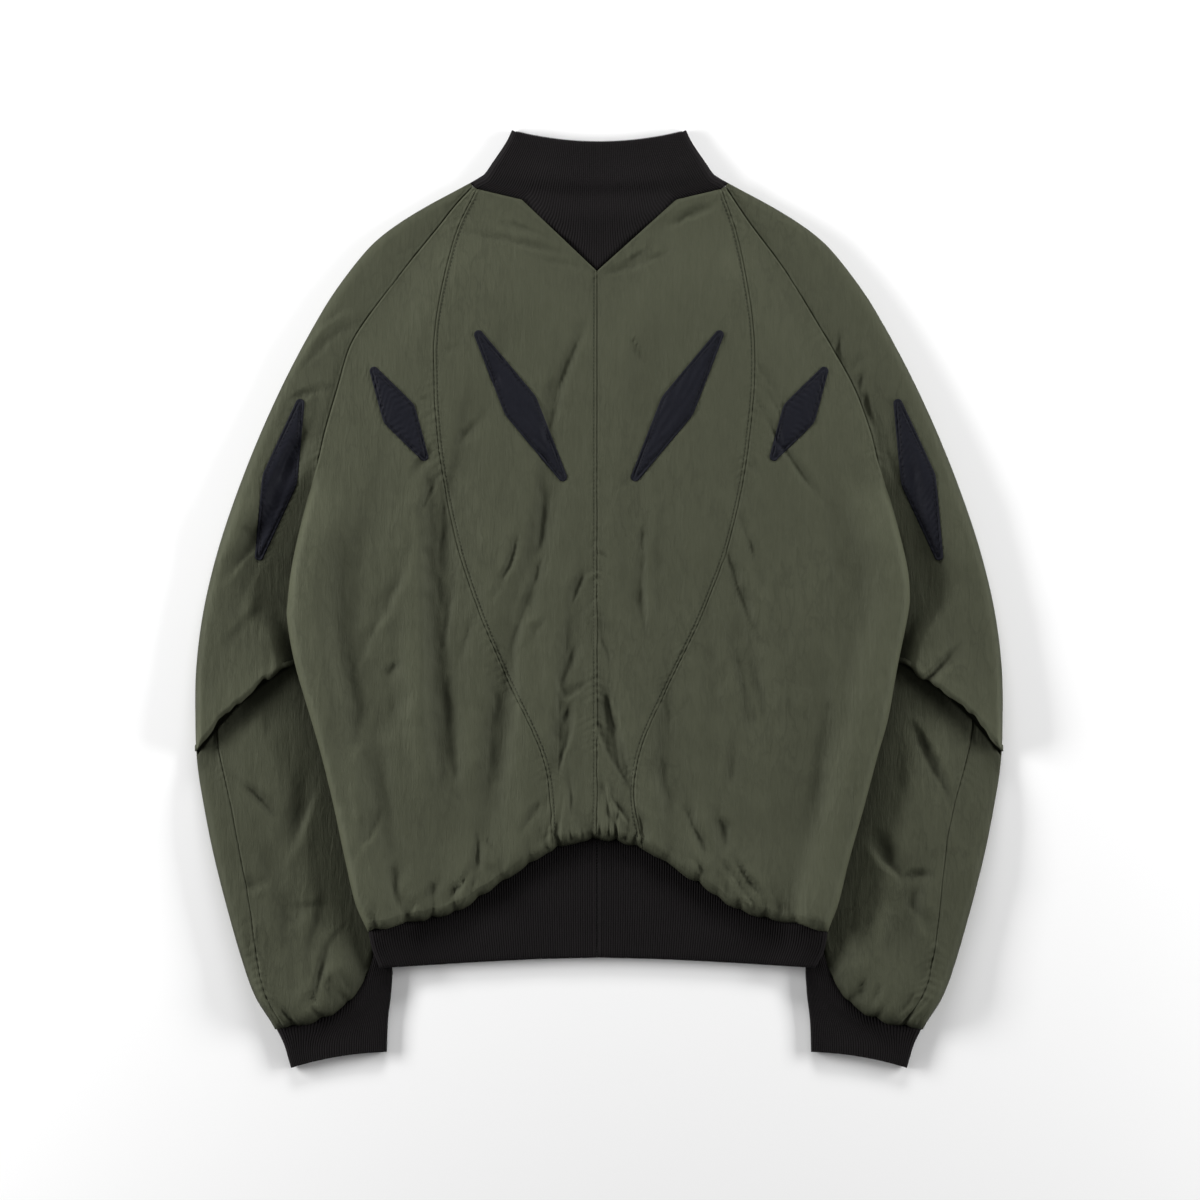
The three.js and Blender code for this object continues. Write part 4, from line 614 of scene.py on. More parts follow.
# Helpers for node groups and materials.
def newGroup(name, inputs, outputs):
    group = bpy.data.node_groups.new(name, "ShaderNodeTree")
    for label, kind, value in inputs:
        socket = group.interface.new_socket(name=label, in_out="INPUT", socket_type=kind)
        socket.default_value = value
    for label, kind in outputs:
        group.interface.new_socket(name=label, in_out="OUTPUT", socket_type=kind)
    return group, group.nodes.new("NodeGroupInput"), group.nodes.new("NodeGroupOutput")


def addNode(tree, kind, **settings):
    node = tree.nodes.new(kind)
    for key, value in settings.items():
        if key in node.inputs:
            node.inputs[key].default_value = value
        else:
            setattr(node, key, value)
    return node


def mathNode(tree, operation, first, second=None):
    node = addNode(tree, "ShaderNodeMath", operation=operation)
    for i, value in enumerate((first, second)):
        if value is None:
            continue
        if isinstance(value, (int, float)):
            node.inputs[i].default_value = value
        else:
            tree.links.new(value, node.inputs[i])
    return node.outputs[0]


# Fine crossing yarns, plus the small dry crinkles that a light nylon keeps. The colour also carries painted
# shade: dark lines painted along the crinkles, and a painted shade from outside the group that darkens
# hollows and lightens crests.
def buildClothGroup():
    group, given, out = newGroup(
        "wovenCloth",
        [("Yarns per metre", "NodeSocketFloat", 1500.0), ("Crinkle size", "NodeSocketFloat", 90.0),
         ("Base", "NodeSocketColor", (0.07, 0.07, 0.05, 1)),
         ("Worn", "NodeSocketColor", (0.09, 0.09, 0.07, 1)),
         ("Crinkle", "NodeSocketFloat", 1.0), ("Streak", "NodeSocketFloat", 1.0),
         ("Painted shade", "NodeSocketFloat", 0.5)],
        [("Color", "NodeSocketColor"), ("Height", "NodeSocketFloat"), ("Gloss", "NodeSocketFloat")])
    links = group.links
    place = addNode(group, "ShaderNodeTexCoord")
    split = addNode(group, "ShaderNodeSeparateXYZ")
    links.new(place.outputs["Object"], split.inputs[0])
    yarns = []
    for axis in ("X", "Y"):
        turns = mathNode(group, "MULTIPLY", split.outputs[axis], given.outputs["Yarns per metre"])
        yarns.append(mathNode(group, "SINE", mathNode(group, "MULTIPLY", turns, 2 * math.pi)))
    weave = mathNode(group, "MULTIPLY", mathNode(group, "MULTIPLY", yarns[0], yarns[1]), 0.5)
    stretch = addNode(group, "ShaderNodeMapping")
    stretch.inputs["Scale"].default_value = (1.0, 0.32, 1.0)
    stretch.inputs["Rotation"].default_value = (0, 0, 0.2)
    links.new(place.outputs["Object"], stretch.inputs["Vector"])
    crinkle = addNode(group, "ShaderNodeTexNoise", Detail=3.0, Roughness=0.55, Distortion=0.35)
    links.new(stretch.outputs[0], crinkle.inputs["Vector"])
    links.new(given.outputs["Crinkle size"], crinkle.inputs["Scale"])
    fold = mathNode(group, "ABSOLUTE", mathNode(group, "SUBTRACT", crinkle.outputs["Fac"], 0.5))
    ridges = mathNode(group, "MULTIPLY", mathNode(group, "SUBTRACT", 0.3, fold), given.outputs["Crinkle"])
    upright = addNode(group, "ShaderNodeMapping")
    upright.inputs["Scale"].default_value = (1.0, 0.1, 0.2)
    upright.inputs["Rotation"].default_value = (0, 0, 0.05)
    links.new(place.outputs["Object"], upright.inputs["Vector"])
    streak = addNode(group, "ShaderNodeTexNoise", Scale=430.0, Detail=4.0, Roughness=0.62, Distortion=0.9)
    links.new(upright.outputs[0], streak.inputs["Vector"])
    streaks = mathNode(group, "MULTIPLY", streak.outputs["Fac"], given.outputs["Streak"])
    relief = mathNode(group, "ADD", ridges, mathNode(group, "MULTIPLY", streaks, 0.42))
    height = mathNode(group, "ADD", mathNode(group, "MULTIPLY", weave, 0.05), relief)
    tone = addNode(group, "ShaderNodeTexNoise", Scale=9.0, Detail=4.0, Roughness=0.6)
    links.new(place.outputs["Object"], tone.inputs["Vector"])
    thread = addNode(group, "ShaderNodeTexNoise", Scale=420.0, Detail=2.0)
    links.new(stretch.outputs[0], thread.inputs["Vector"])
    patchy = mathNode(group, "ADD", mathNode(group, "MULTIPLY", tone.outputs["Fac"], 0.5),
                      mathNode(group, "MULTIPLY", thread.outputs["Fac"], 0.35))
    amount = mathNode(group, "ADD", patchy, mathNode(group, "MULTIPLY", streaks, 0.55))
    blend = addNode(group, "ShaderNodeMix", data_type="RGBA")
    links.new(mathNode(group, "SUBTRACT", amount, 0.2), blend.inputs["Factor"])
    links.new(given.outputs["Base"], blend.inputs["A"])
    links.new(given.outputs["Worn"], blend.inputs["B"])
    # Painted shade is multiplied into the colour here.
    shadePainted = addNode(group, "ShaderNodeMix", data_type="RGBA", blend_type="MULTIPLY")
    shadePainted.inputs["Factor"].default_value = 1.0
    links.new(blend.outputs["Result"], shadePainted.inputs["A"])
    # Painted shade: thin dark lines painted along the crinkle lines, in patches, where the crinkles' shade
    # would fall.
    wispShadeRamp = addNode(group, "ShaderNodeMapRange")
    for label, value in (("From Min", 0.06), ("From Max", 0.0), ("To Min", 0.0), ("To Max", 0.2)):
        wispShadeRamp.inputs[label].default_value = value
    links.new(fold, wispShadeRamp.inputs["Value"])
    wispShadePatches = addNode(group, "ShaderNodeMapRange")
    wispShadePatches.inputs["From Min"].default_value, wispShadePatches.inputs["From Max"].default_value = 0.42, 0.62
    links.new(tone.outputs["Fac"], wispShadePatches.inputs["Value"])
    paintedWispShade = mathNode(group, "MULTIPLY", wispShadeRamp.outputs[0], wispShadePatches.outputs[0])
    paintedWispShade = mathNode(group, "MULTIPLY", paintedWispShade, given.outputs["Crinkle"])
    # Painted shade: the colour goes down with the painted crinkle lines and with the outside shade value,
    # and up where that value is below its neutral 0.5.
    paintedShade = mathNode(group, "MULTIPLY", mathNode(group, "ADD", given.outputs["Painted shade"], paintedWispShade), 0.7)
    links.new(mathNode(group, "SUBTRACT", 1.35, paintedShade), shadePainted.inputs["B"])
    links.new(shadePainted.outputs["Result"], out.inputs["Color"])
    links.new(height, out.inputs["Height"])
    uneven = mathNode(group, "MULTIPLY", tone.outputs["Fac"], 0.14)
    links.new(mathNode(group, "ADD", 0.55, uneven), out.inputs["Gloss"])
    return group


# Loops of a rib knit: small stitches along each wale and a soft tone change.
def buildKnitGroup():
    group, given, out = newGroup(
        "ribKnit",
        [("Base", "NodeSocketColor", (0.01, 0.01, 0.01, 1)),
         ("Fuzz", "NodeSocketColor", (0.03, 0.03, 0.03, 1)),
         ("Loops per metre", "NodeSocketFloat", 620.0)],
        [("Color", "NodeSocketColor"), ("Height", "NodeSocketFloat"), ("Gloss", "NodeSocketFloat")])
    links = group.links
    place = addNode(group, "ShaderNodeTexCoord")
    split = addNode(group, "ShaderNodeSeparateXYZ")
    links.new(place.outputs["Object"], split.inputs[0])
    turns = mathNode(group, "MULTIPLY", split.outputs["Y"], given.outputs["Loops per metre"])
    loops = mathNode(group, "SINE", mathNode(group, "MULTIPLY", turns, 2 * math.pi))
    fuzz = addNode(group, "ShaderNodeTexNoise", Scale=900.0, Detail=3.0, Roughness=0.7)
    links.new(place.outputs["Object"], fuzz.inputs["Vector"])
    tone = addNode(group, "ShaderNodeTexNoise", Scale=22.0, Detail=3.0)
    links.new(place.outputs["Object"], tone.inputs["Vector"])
    amount = mathNode(group, "ADD", mathNode(group, "MULTIPLY", fuzz.outputs["Fac"], 0.6),
                      mathNode(group, "MULTIPLY", tone.outputs["Fac"], 0.4))
    blend = addNode(group, "ShaderNodeMix", data_type="RGBA")
    links.new(mathNode(group, "SUBTRACT", amount, 0.1), blend.inputs["Factor"])
    links.new(given.outputs["Base"], blend.inputs["A"])
    links.new(given.outputs["Fuzz"], blend.inputs["B"])
    links.new(blend.outputs["Result"], out.inputs["Color"])
    height = mathNode(group, "ADD", mathNode(group, "MULTIPLY", loops, 0.15),
                      mathNode(group, "MULTIPLY", fuzz.outputs["Fac"], 0.5))
    links.new(height, out.inputs["Height"])
    uneven = mathNode(group, "MULTIPLY", tone.outputs["Fac"], 0.12)
    links.new(mathNode(group, "ADD", 0.8, uneven), out.inputs["Gloss"])
    return group


def groupMaterial(name, group, values, bump, sheen=0.0, shine=0.12):
    material = bpy.data.materials.new(name)
    material.use_nodes = True
    tree = material.node_tree
    shader = tree.nodes["Principled BSDF"]
    node = tree.nodes.new("ShaderNodeGroup")
    node.node_tree = group
    for key, value in values.items():
        node.inputs[key].default_value = value
    relief = addNode(tree, "ShaderNodeBump", Strength=bump["strength"], Distance=bump["distance"])
    tree.links.new(node.outputs["Height"], relief.inputs["Height"])
    tree.links.new(relief.outputs[0], shader.inputs["Normal"])
    tree.links.new(node.outputs["Color"], shader.inputs["Base Color"])
    tree.links.new(node.outputs["Gloss"], shader.inputs["Roughness"])
    shader.inputs["Sheen Weight"].default_value = sheen
    shader.inputs["Specular IOR Level"].default_value = shine
    return material


clothGroup = buildClothGroup()
knitGroup = buildKnitGroup()
shellLook = {"base": (0.0515, 0.0555, 0.0350, 1), "worn": (0.0775, 0.0815, 0.0545, 1)}
shellMat = groupMaterial("olive nylon", clothGroup, {
    "Base": shellLook["base"], "Worn": shellLook["worn"], "Crinkle size": 95.0, "Crinkle": 1.0,
}, {"strength": 0.7, "distance": 0.002}, shine=0.07)
# Painted shade: the mesh attribute fold, darkening hollows and lightening crests, feeds the shell's colour.
paintedShadeNode = addNode(shellMat.node_tree, "ShaderNodeAttribute", attribute_name="fold")
shellGroup = next(node for node in shellMat.node_tree.nodes if node.type == "GROUP")
shellMat.node_tree.links.new(paintedShadeNode.outputs["Fac"], shellGroup.inputs["Painted shade"])
patchMat = groupMaterial("blue-black nylon", clothGroup, {
    "Base": (0.0084, 0.0088, 0.0128, 1), "Worn": (0.0125, 0.0131, 0.0185, 1),
    "Crinkle size": 130.0, "Crinkle": 0.8,
}, {"strength": 0.45, "distance": 0.0012}, shine=0.07)
ribMat = groupMaterial("black rib knit", knitGroup, {
    "Base": (0.0080, 0.0071, 0.0074, 1), "Fuzz": (0.0172, 0.0154, 0.0160, 1),
}, {"strength": 0.6, "distance": 0.0005}, sheen=0.02, shine=0.05)
tapeMat = groupMaterial("black zip tape", clothGroup, {
    "Base": (0.01, 0.01, 0.01, 1), "Worn": (0.018, 0.018, 0.018, 1), "Yarns per metre": 900.0,
    "Crinkle": 0.1, "Streak": 0.2,
}, {"strength": 0.5, "distance": 0.0004})
# The seam thread is far darker than the shell's olive: partly the thread's own colour, partly painted shade
# of the stitch holes and dips.
threadWithStitchShadeMat = groupMaterial("olive thread", clothGroup, {
    "Base": (0.018, 0.020, 0.013, 1), "Worn": (0.032, 0.035, 0.024, 1), "Crinkle": 0.0, "Streak": 0.0,
}, {"strength": 0.2, "distance": 0.0002})
darkThreadMat = groupMaterial("dark thread", clothGroup, {
    "Base": (0.005, 0.005, 0.007, 1), "Worn": (0.009, 0.009, 0.012, 1), "Crinkle": 0.0, "Streak": 0.0,
}, {"strength": 0.2, "distance": 0.0002})


def metalMaterial():
    material = bpy.data.materials.new("dark zip metal")
    material.use_nodes = True
    tree = material.node_tree
    shader = tree.nodes["Principled BSDF"]
    place = addNode(tree, "ShaderNodeTexCoord")
    rub = addNode(tree, "ShaderNodeTexNoise", Scale=600.0, Detail=4.0)
    tree.links.new(place.outputs["Object"], rub.inputs["Vector"])
    ramp = addNode(tree, "ShaderNodeMapRange")
    ramp.inputs["To Min"].default_value = 0.25
    ramp.inputs["To Max"].default_value = 0.48
    tree.links.new(rub.outputs["Fac"], ramp.inputs["Value"])
    tree.links.new(ramp.outputs["Result"], shader.inputs["Roughness"])
    tint = addNode(tree, "ShaderNodeMix", data_type="RGBA")
    tint.inputs["A"].default_value = (0.06, 0.06, 0.056, 1)
    tint.inputs["B"].default_value = (0.12, 0.12, 0.112, 1)
    tree.links.new(rub.outputs["Fac"], tint.inputs["Factor"])
    tree.links.new(tint.outputs["Result"], shader.inputs["Base Color"])
    shader.inputs["Metallic"].default_value = 1.0
    return material


metalMat = metalMaterial()
print("materials made")

grids = {}  # laid cloth by name, for what rests on it


def keepGrid(name, parts):
    verts, faces, start = [], [], 0
    for points in parts:
        m, n = points.shape[:2]
        index = np.arange(m * n).reshape(m, n) + start
        verts.append(points.reshape(-1, 3))
        corners = [index[:-1, :-1], index[:-1, 1:], index[1:, 1:], index[1:, :-1]]
        faces.append(np.stack(corners, -1).reshape(-1, 4))
        start += m * n
    grids[name] = BVHTree.FromPolygons(
        np.concatenate(verts).tolist(), np.concatenate(faces).tolist())


def heightOn(name, x, y, fallback):
    found = grids[name].ray_cast(Vector((x, y, 60.0)), Vector((0, 0, -1)))[0]
    return fallback if found is None else found.z


# The back of the body, and the fronts that it lies on.
def bodyRowKeys(spacing):
    fine = np.array([0, 0.25, 0.6, 1.1, 1.8, 2.7, 3.8, 5.2])
    main = np.arange(7.0, 580.4, spacing)
    top, hem = level["seamTop"], level["seamHem"]
    return np.unique(np.concatenate([top - fine * 0.8, hem + fine, top - main]))[::-1]


def sideSeamPlace(side, inner, near):
    x = signOf(side) * readTable(sideBackSeam, "y", side, inner)
    return np.stack([x, inner + near * (hemSeamY(x) - level["seamHem"])], -1)


def sideRowAt(inner):
    return np.interp(-inner, -sideRows["inner"], np.arange(26.0))


def nearHemShare(inner):
    return smooth(1 - (25 - sideRowAt(inner)) / 9)


def hemBend(x, aX, bX, weight):
    u = (x - aX[:, None]) / (bX - aX)[:, None]
    endLine = lerp(hemSeamY(aX)[:, None], hemSeamY(bX)[:, None], u)
    return weight[:, None] * (hemSeamY(x) - endLine)


def backMiddle(side):
    sign = signOf(side)
    inner = bodyRowKeys(2.3)
    near = nearHemShare(inner)
    seamX = cloth["backSeamX"]
    share = (inner - level["seamTop"]) / (level["seamHem"] - level["seamTop"])
    a = np.stack([np.full_like(inner, seamX), lerp(neck["point"][1], float(hemSeamY(seamX)), share)], -1)
    b = sideSeamPlace(side, inner, near)
    width = np.hypot(*(b - a).T)
    bend = (neck["corner"][0] * sign - seamX) / (neck["sideBack"][0] * sign - seamX)
    across = acrossSteps(width, 44)
    x, y, u = rowPlan(a, b, np.zeros_like(inner), across)
    corner = neck["corner"][1] - lerp(a[:, 1], b[:, 1], bend)
    nearNeck = smooth(1 - sideRowAt(inner) / 7)
    toNeck = np.where(u < bend, u / bend, (1 - u) / (1 - bend)) * (nearNeck * corner)[:, None]
    y = y + toNeck + hemBend(x, a[:, 0], b[:, 0], near)
    aboveHem = (y - hemSeamY(x)) * 0.95
    y = y - scallop(x * 1.08, 41) * np.exp(-aboveHem / 9)
    belowNeck = np.abs(y - y[0]) * 0.75
    top = bodyTop(side, x, y) + patchPuckers(side, "middle", x, y)
    onSide = 1.0 if side == "left" else 0.0
    top = top + seamRelief(across, y, 51, onSide, 1.1) + seamRelief(width[:, None] - across, y, 53, 1.0, 1.2)
    top = top + seamRelief(belowNeck, x, 55, 0.0, 0.4) * 0.7
    return liftTo(x, y, top, edgeUp(aboveHem, cloth["edgeRadius"], 1.0))


def backSide(side):
    sign = signOf(side)
    inner = bodyRowKeys(2.3)
    near = nearHemShare(inner)
    outer = readTable(sideRows, "inner", "outer", inner)
    a = sideSeamPlace(side, inner, near)
    bX = sign * bodyEdgeX(side, outer)
    b = np.stack([bX, outer + near * (hemSeamY(bX) - level["edgeHem"])], -1)
    width = np.hypot(*(b - a).T)
    across = acrossSteps(width, 56)
    x, y = rowPlan(a, b, np.zeros_like(inner), across)[:2]
    y = y + hemBend(x, a[:, 0], b[:, 0], near)
    aboveHem = (y - hemSeamY(x)) * 0.92
    y = y - scallop(x * 1.08, 41) * np.exp(-aboveHem / 9)
    fromEdge = width[:, None] - across
    free = smooth((level["armpit"] - outer) / 29)[:, None]
    top = bodyTop(side, x, y) + patchPuckers(side, "side", x, y)
    top = top + seamRelief(across, y, 53, 0.3, 1.2)
    top = top + seamRelief(fromEdge, y, 57, 0.0, 1.2) * (1 - free)
    up = edgeUp(fromEdge, cloth["edgeRadius"], free) * edgeUp(aboveHem, cloth["edgeRadius"], 1.0)
    return liftTo(x, y, top, up, bodyLift(side, x, np.maximum(y, -291)))


def laidFront(side):
    sign = signOf(side)
    top, hem = level["armholeTop"], level["frontHem"]
    outer = np.concatenate([np.linspace(top, -280, 64), [-284, -287, hem]])
    middle = lerp(neck["frontY"], level["frontMiddleHem"], (outer - top) / (hem - top))
    a = np.stack([np.full_like(outer, sign * cloth["zipHalf"]), middle], -1)
    b = np.stack([sign * bodyEdgeX(side, outer), outer], -1)
    width = np.hypot(*(b - a).T)
    across = acrossSteps(width, 26)
    bow = 9 * smooth((outer - 200) / 160)
    x, y = rowPlan(a, b, bow, across)[:2]
    free = smooth((level["armpit"] - outer) / 29)[:, None]
    up = edgeUp(width[:, None] - across, cloth["edgeRadius"], free)
    return layUnder(x, y, up, bodyLift(side, x, np.maximum(y, -291)))


# The sleeves: an upper stretch, the fold at the elbow, a lower stretch and its outer strip.
def sleeveInnerX(side, y):
    belowArmpit = readTable(sleeveInner, "y", side, np.minimum(y, level["armpit"]))
    return np.where(y > level["armpit"] - 0.1, bodyEdgeX(side, y), belowArmpit)


def sleevePlan(side, index):
    sign = signOf(side)
    take = {name: np.interp(index, np.arange(31.0), sleeveRows[name]) for name in sleeveRows}
    tuck = 3.5 * smooth((122 - take["inner"]) / 12) * (1 - smooth((45 - take["inner"]) / 30))
    a = np.stack([sign * (sleeveInnerX(side, take["inner"]) - tuck), take["inner"]], -1)
    b = np.stack([sign * readTable(sleeveOuter, "y", "x", take["outer"]), take["outer"]], -1)
    take["seam"] = take["seamLeft"] if side == "left" else take["seamRight"]
    take["turned"] = np.interp(index, [0, 1, 2], [0.25, 0.7, 1.0])
    return a, b, take


elbowFold = {"sink": 8.5, "reach": 38.0, "wave": 7.5, "lip": 12.4}


def rowGaps(x, y):
    return np.hypot(np.diff(x, axis=0), np.diff(y, axis=0))


def toLastRow(x, y):
    return np.concatenate([np.cumsum(rowGaps(x, y)[::-1], axis=0)[::-1], np.zeros((1, x.shape[1]))])


def sleeveUpper(side):
    index = np.concatenate([
        np.linspace(0, 9, 110)[:-1], np.linspace(9, 14, 84)[:-1], np.linspace(14, 16, 44)])
    a, b, take = sleevePlan(side, index)
    width = np.hypot(*(b - a).T)
    across = acrossSteps(width, 42)
    x, y, u = rowPlan(a, b, take["bow"], across)
    toFold = toLastRow(x, y)
    wave = layeredNoise(x / 15, x * 0, 91) - 0.5 + 0.5 * (latticeNoise(x / 5, x * 0, 93) - 0.5)
    wave = wave * smooth(u * 7) * smooth((1 - u) * 7)
    y = y + elbowFold["wave"] * wave * np.exp(-toFold / 10)
    top = sleeveTop(side, x, y, take["air"][:, None], np.full_like(x, 400.0), x, 1.0)
    closed = smooth((take["inner"] - 91.6) / 29)[:, None]
    top = top + seamRelief(across, y, 57, 0.2, 1.2) * closed
    top = top + patchPuckers(side, "sleeve", x, y)
    lip = np.minimum(top, elbowFold["lip"])
    top = lip + (top - lip) * edgeUp(toFold, 7.0, 1.0)
    free = smooth((75 - take["inner"]) / 40)[:, None]
    up = (edgeUp(across, cloth["edgeRadius"], free)
          * edgeUp(width[:, None] - across, cloth["edgeRadius"], take["turned"][:, None]))
    points = liftTo(x, y, top, up)
    last = points[-1]
    tucked = []
    for back, drop in ((2.0, 0.35), (5.0, 0.5)):
        row = last.copy()
        row[:, 1] += back
        row[:, 2] -= drop * edgeUp(width[-1] - across[-1], cloth["edgeRadius"], 1.0)
        tucked.append(row)
    return np.concatenate([points, np.array(tucked)])


def sleeveLowerPlan(side):
    fine = 30 - np.array([3.4, 3.0, 2.6, 2.2, 1.85, 1.5, 1.2, 0.9, 0.6, 0.35, 0.15, 0])
    index = np.concatenate([[17, 17, 17], np.linspace(17.2, 26.2, 104), fine[fine > 26.4]])
    a, b, take = sleevePlan(side, index)
    for row, back in ((0, 6.0), (1, 2.5)):
        a[row, 1] += back
        b[row, 1] += back
    return a, b, take


def sleeveLowerTop(side, x, y, take, toCuff, across):
    top = sleeveTop(side, x, y, take["air"][:, None], toCuff, across * 1.05)
    fromFold = np.concatenate([np.zeros((1, x.shape[1])), np.cumsum(rowGaps(x, y), axis=0)])
    share = across / across.max(axis=1, keepdims=True)
    top = top - elbowFold["sink"] * np.exp(-((fromFold / elbowFold["reach"]) ** 2)) * lerp(1, 0.4, share)
    top = settle(top, 5.4, 1.2)
    top[0] = np.minimum(top[0], 9.5)
    top[1] = np.minimum(top[1], 9.9)
    return top


def sleeveLower(side):
    a, b, take = sleeveLowerPlan(side)
    width = np.hypot(*(b - a).T)
    end = width - take["seam"]
    across = acrossSteps(end, 42)
    x, y = rowPlan(a, b, take["bow"], across)[:2]
    toCuff = toLastRow(x, y)
    y = y - scallop(across * 1.05, 43) * np.exp(-toCuff / 8)
    top = sleeveLowerTop(side, x, y, take, toCuff, across)
    top = top + seamRelief(end[:, None] - across, y, 61, 0.0, 0.8)
    radius = cloth["edgeRadius"]
    up = edgeUp(across, radius, 1.0) * edgeUp(width[:, None] - across, radius, 1.0)
    up = up * edgeUp(toCuff, radius, 1.0)
    return liftTo(x, y, top, up)


def sleeveStrip(side):
    a, b, take = sleeveLowerPlan(side)
    width = np.hypot(*(b - a).T)
    start = (width - take["seam"])[:, None]
    share = np.array([
        0, 0.02, 0.05, 0.09, 0.15, 0.22, 0.3, 0.4, 0.5, 0.6, 0.7, 0.8, 0.88, 0.93, 0.965, 0.985, 1.0])
    across = start + take["seam"][:, None] * share
    x, y = rowPlan(a, b, take["bow"], across)[:2]
    toCuff = toLastRow(x, y)
    y = y - scallop(across * 1.05, 43) * np.exp(-toCuff / 8)
    top = sleeveLowerTop(side, x, y, take, toCuff, across)
    top = top + seamRelief(across - start, y, 61, 0.2, 0.8)
    up = edgeUp(width[:, None] - across, cloth["edgeRadius"], 1.0) * edgeUp(toCuff, cloth["edgeRadius"], 1.0)
    return liftTo(x, y, top, up)


def sleeveUnder(side):
    index = np.concatenate([np.linspace(0, 16, 60), np.linspace(17, 30, 44)])
    a, b, take = sleevePlan(side, index)
    width = np.hypot(*(b - a).T)
    across = acrossSteps(width, 12)
    x, y = rowPlan(a, b, take["bow"], across)[:2]
    free = smooth((75 - take["inner"]) / 40)[:, None]
    up = (edgeUp(across, cloth["edgeRadius"], free)
          * edgeUp(width[:, None] - across, cloth["edgeRadius"], take["turned"][:, None]))
    return layUnder(x, y, up)


# Rib-knit pieces, with one ridge every 2.1 mm.
ribLook = {"pitch": 2.1, "height": 0.95}


def ribRelief(count):
    pattern = np.array([0.0, 0.75, 1.0, 0.75])
    return ribLook["height"] * (pattern[np.arange(count) % 4] - 0.6)


def pushOut(points, amount, facing):
    normal = gridNormals(points)
    if np.sign(normal[..., 2].mean()) != facing:
        normal = -normal
    return points + normal * amount


def ribColumns(width):
    return 4 * int(round(width / ribLook["pitch"])) + 1


def collarBack():
    v = np.concatenate([[0, 0.006, 0.015, 0.03], np.linspace(0.06, 0.94, 30), [0.97, 0.985, 1.0]])[:, None]
    columns = ribColumns(206)
    u = np.linspace(0, 1, columns)[None, :]
    half = lerp(collar["cornerX"], neck["side"][0], v) * readTable(collarWidths, "v", "half", v)
    across = (u - 0.5) * 2
    x = across * half
    topY = lerp(collar["middleY"], collar["cornerY"], across ** 2)
    rounded = np.clip((np.abs(across) - collar["roundedFrom"]) / (1 - collar["roundedFrom"]), 0, 1)
    topY = topY - collar["rounding"] * rounded ** 2
    bottomY = necklineY(across * neck["side"][0])
    y = lerp(topY, bottomY, v)
    down = topY - y
    fromSide = (1 - np.abs(across)) * half
    toNeck = np.abs(y - bottomY) * 0.75
    z = lerp(collar["laid"], collar["neckLaid"], smooth(v * 1.1))
    z = z + readTable(collarBands, "down", "rise", down) * np.exp(-((x / 84) ** 4))
    z = z + 0.8 * (layeredNoise(x / 40, y / 25, 71) - 0.5) - 1.3 * np.exp(-((toNeck / 2.2) ** 2))
    up = edgeUp(fromSide, cloth["ribRadius"], 1.0) * lerp(0.72, 1.0, edgeUp(down, 2.4, 1.0))
    plain = liftTo(x, y, z, up, wall=cloth["ribWall"])
    return pushOut(plain, ribRelief(columns)[None, :, None], 1), plain


def collarFront(side):
    sign = signOf(side)
    v = np.linspace(0, 1, 14)
    half = lerp(collar["cornerX"], neck["side"][0], v) * readTable(collarWidths, "v", "half", v)
    middle = lerp(collar["frontMiddleY"], neck["collarFrontY"], v)
    a = np.stack([np.full_like(v, sign * cloth["zipHalf"]), middle], -1)
    b = np.stack([sign * half, lerp(collar["cornerY"], neck["side"][1], v)], -1)
    width = np.hypot(*(b - a).T)
    columns = ribColumns(104)
    across = width[:, None] * np.linspace(0, 1, columns)[None, :]
    x, y = rowPlan(a, b, lerp(3.0, 9.0, v), across)[:2]
    up = edgeUp(width[:, None] - across, cloth["ribRadius"], 1.0)
    plain = layUnder(x, y, up, wall=cloth["ribWall"]) + (0, 0, ribLook["height"] * 0.5)
    ribbed = plain.copy()
    ribbed[..., 2] -= ribRelief(columns)[None, :]
    return ribbed, plain


def hemBack(side):
    sign = signOf(side)
    v = np.concatenate([[0.0, 0.02, 0.05], np.linspace(0.1, 0.93, 18), [0.965, 0.985, 0.995, 1.0]])[:, None]
    columns = ribColumns(200)
    u = np.linspace(0, 1, columns)[None, :]
    outerY = lerp(level["edgeHem"], level["hemEnd"], v)
    edgeX = bodyEdgeX(side, outerY - 0.01)
    x = lerp(cloth["backSeamX"], sign * edgeX, u)
    upper, lower = hemSeamY(x) + 1.2, hemLowerY(x)
    y = lerp(upper, lower, v)
    below, above = y - lower, upper - y
    fromEdge = (1 - u) * edgeX
    fromMiddle = np.abs(x - cloth["backSeamX"])
    z = cloth["ribLaid"] + 0.9 * (layeredNoise(x / 50, y / 30, 73) - 0.5)
    z = z - 2.0 * np.exp(-((above / 2.6) ** 2)) - np.exp(-((fromMiddle / 1.3) ** 2))
    z = z + 0.35 * np.exp(-(((fromMiddle - 2.6) / 1.4) ** 2))
    up = edgeUp(fromEdge, cloth["ribRadius"], 1.0) * lerp(0.55, 1.0, edgeUp(below, 2.6, 1.0))
    base = bodyLift(side, x, y)
    plain = liftTo(x, y, z, up, base, wall=cloth["ribWall"])
    return pushOut(plain, ribRelief(columns)[None, :, None], 1), plain


def hemFront(side):
    sign = signOf(side)
    v = np.linspace(0, 1, 10)[:, None]
    columns = ribColumns(190)
    u = np.linspace(0, 1, columns)[None, :]
    outerY = lerp(level["frontHem"], level["hemEnd"], v)
    edgeX = bodyEdgeX(side, outerY - 0.01)
    x = lerp(sign * cloth["zipHalf"], sign * edgeX, u)
    y = lerp(lerp(level["frontMiddleHem"], level["frontHem"], u), hemLowerY(x), v)
    up = edgeUp((1 - u) * (edgeX - cloth["zipHalf"]), cloth["ribRadius"], 1.0)
    plain = layUnder(x, y, up, bodyLift(side, x, y), wall=cloth["ribWall"]) + (0, 0, ribLook["height"] * 0.5)
    ribbed = plain.copy()
    ribbed[..., 2] -= ribRelief(columns)[None, :]
    return ribbed, plain


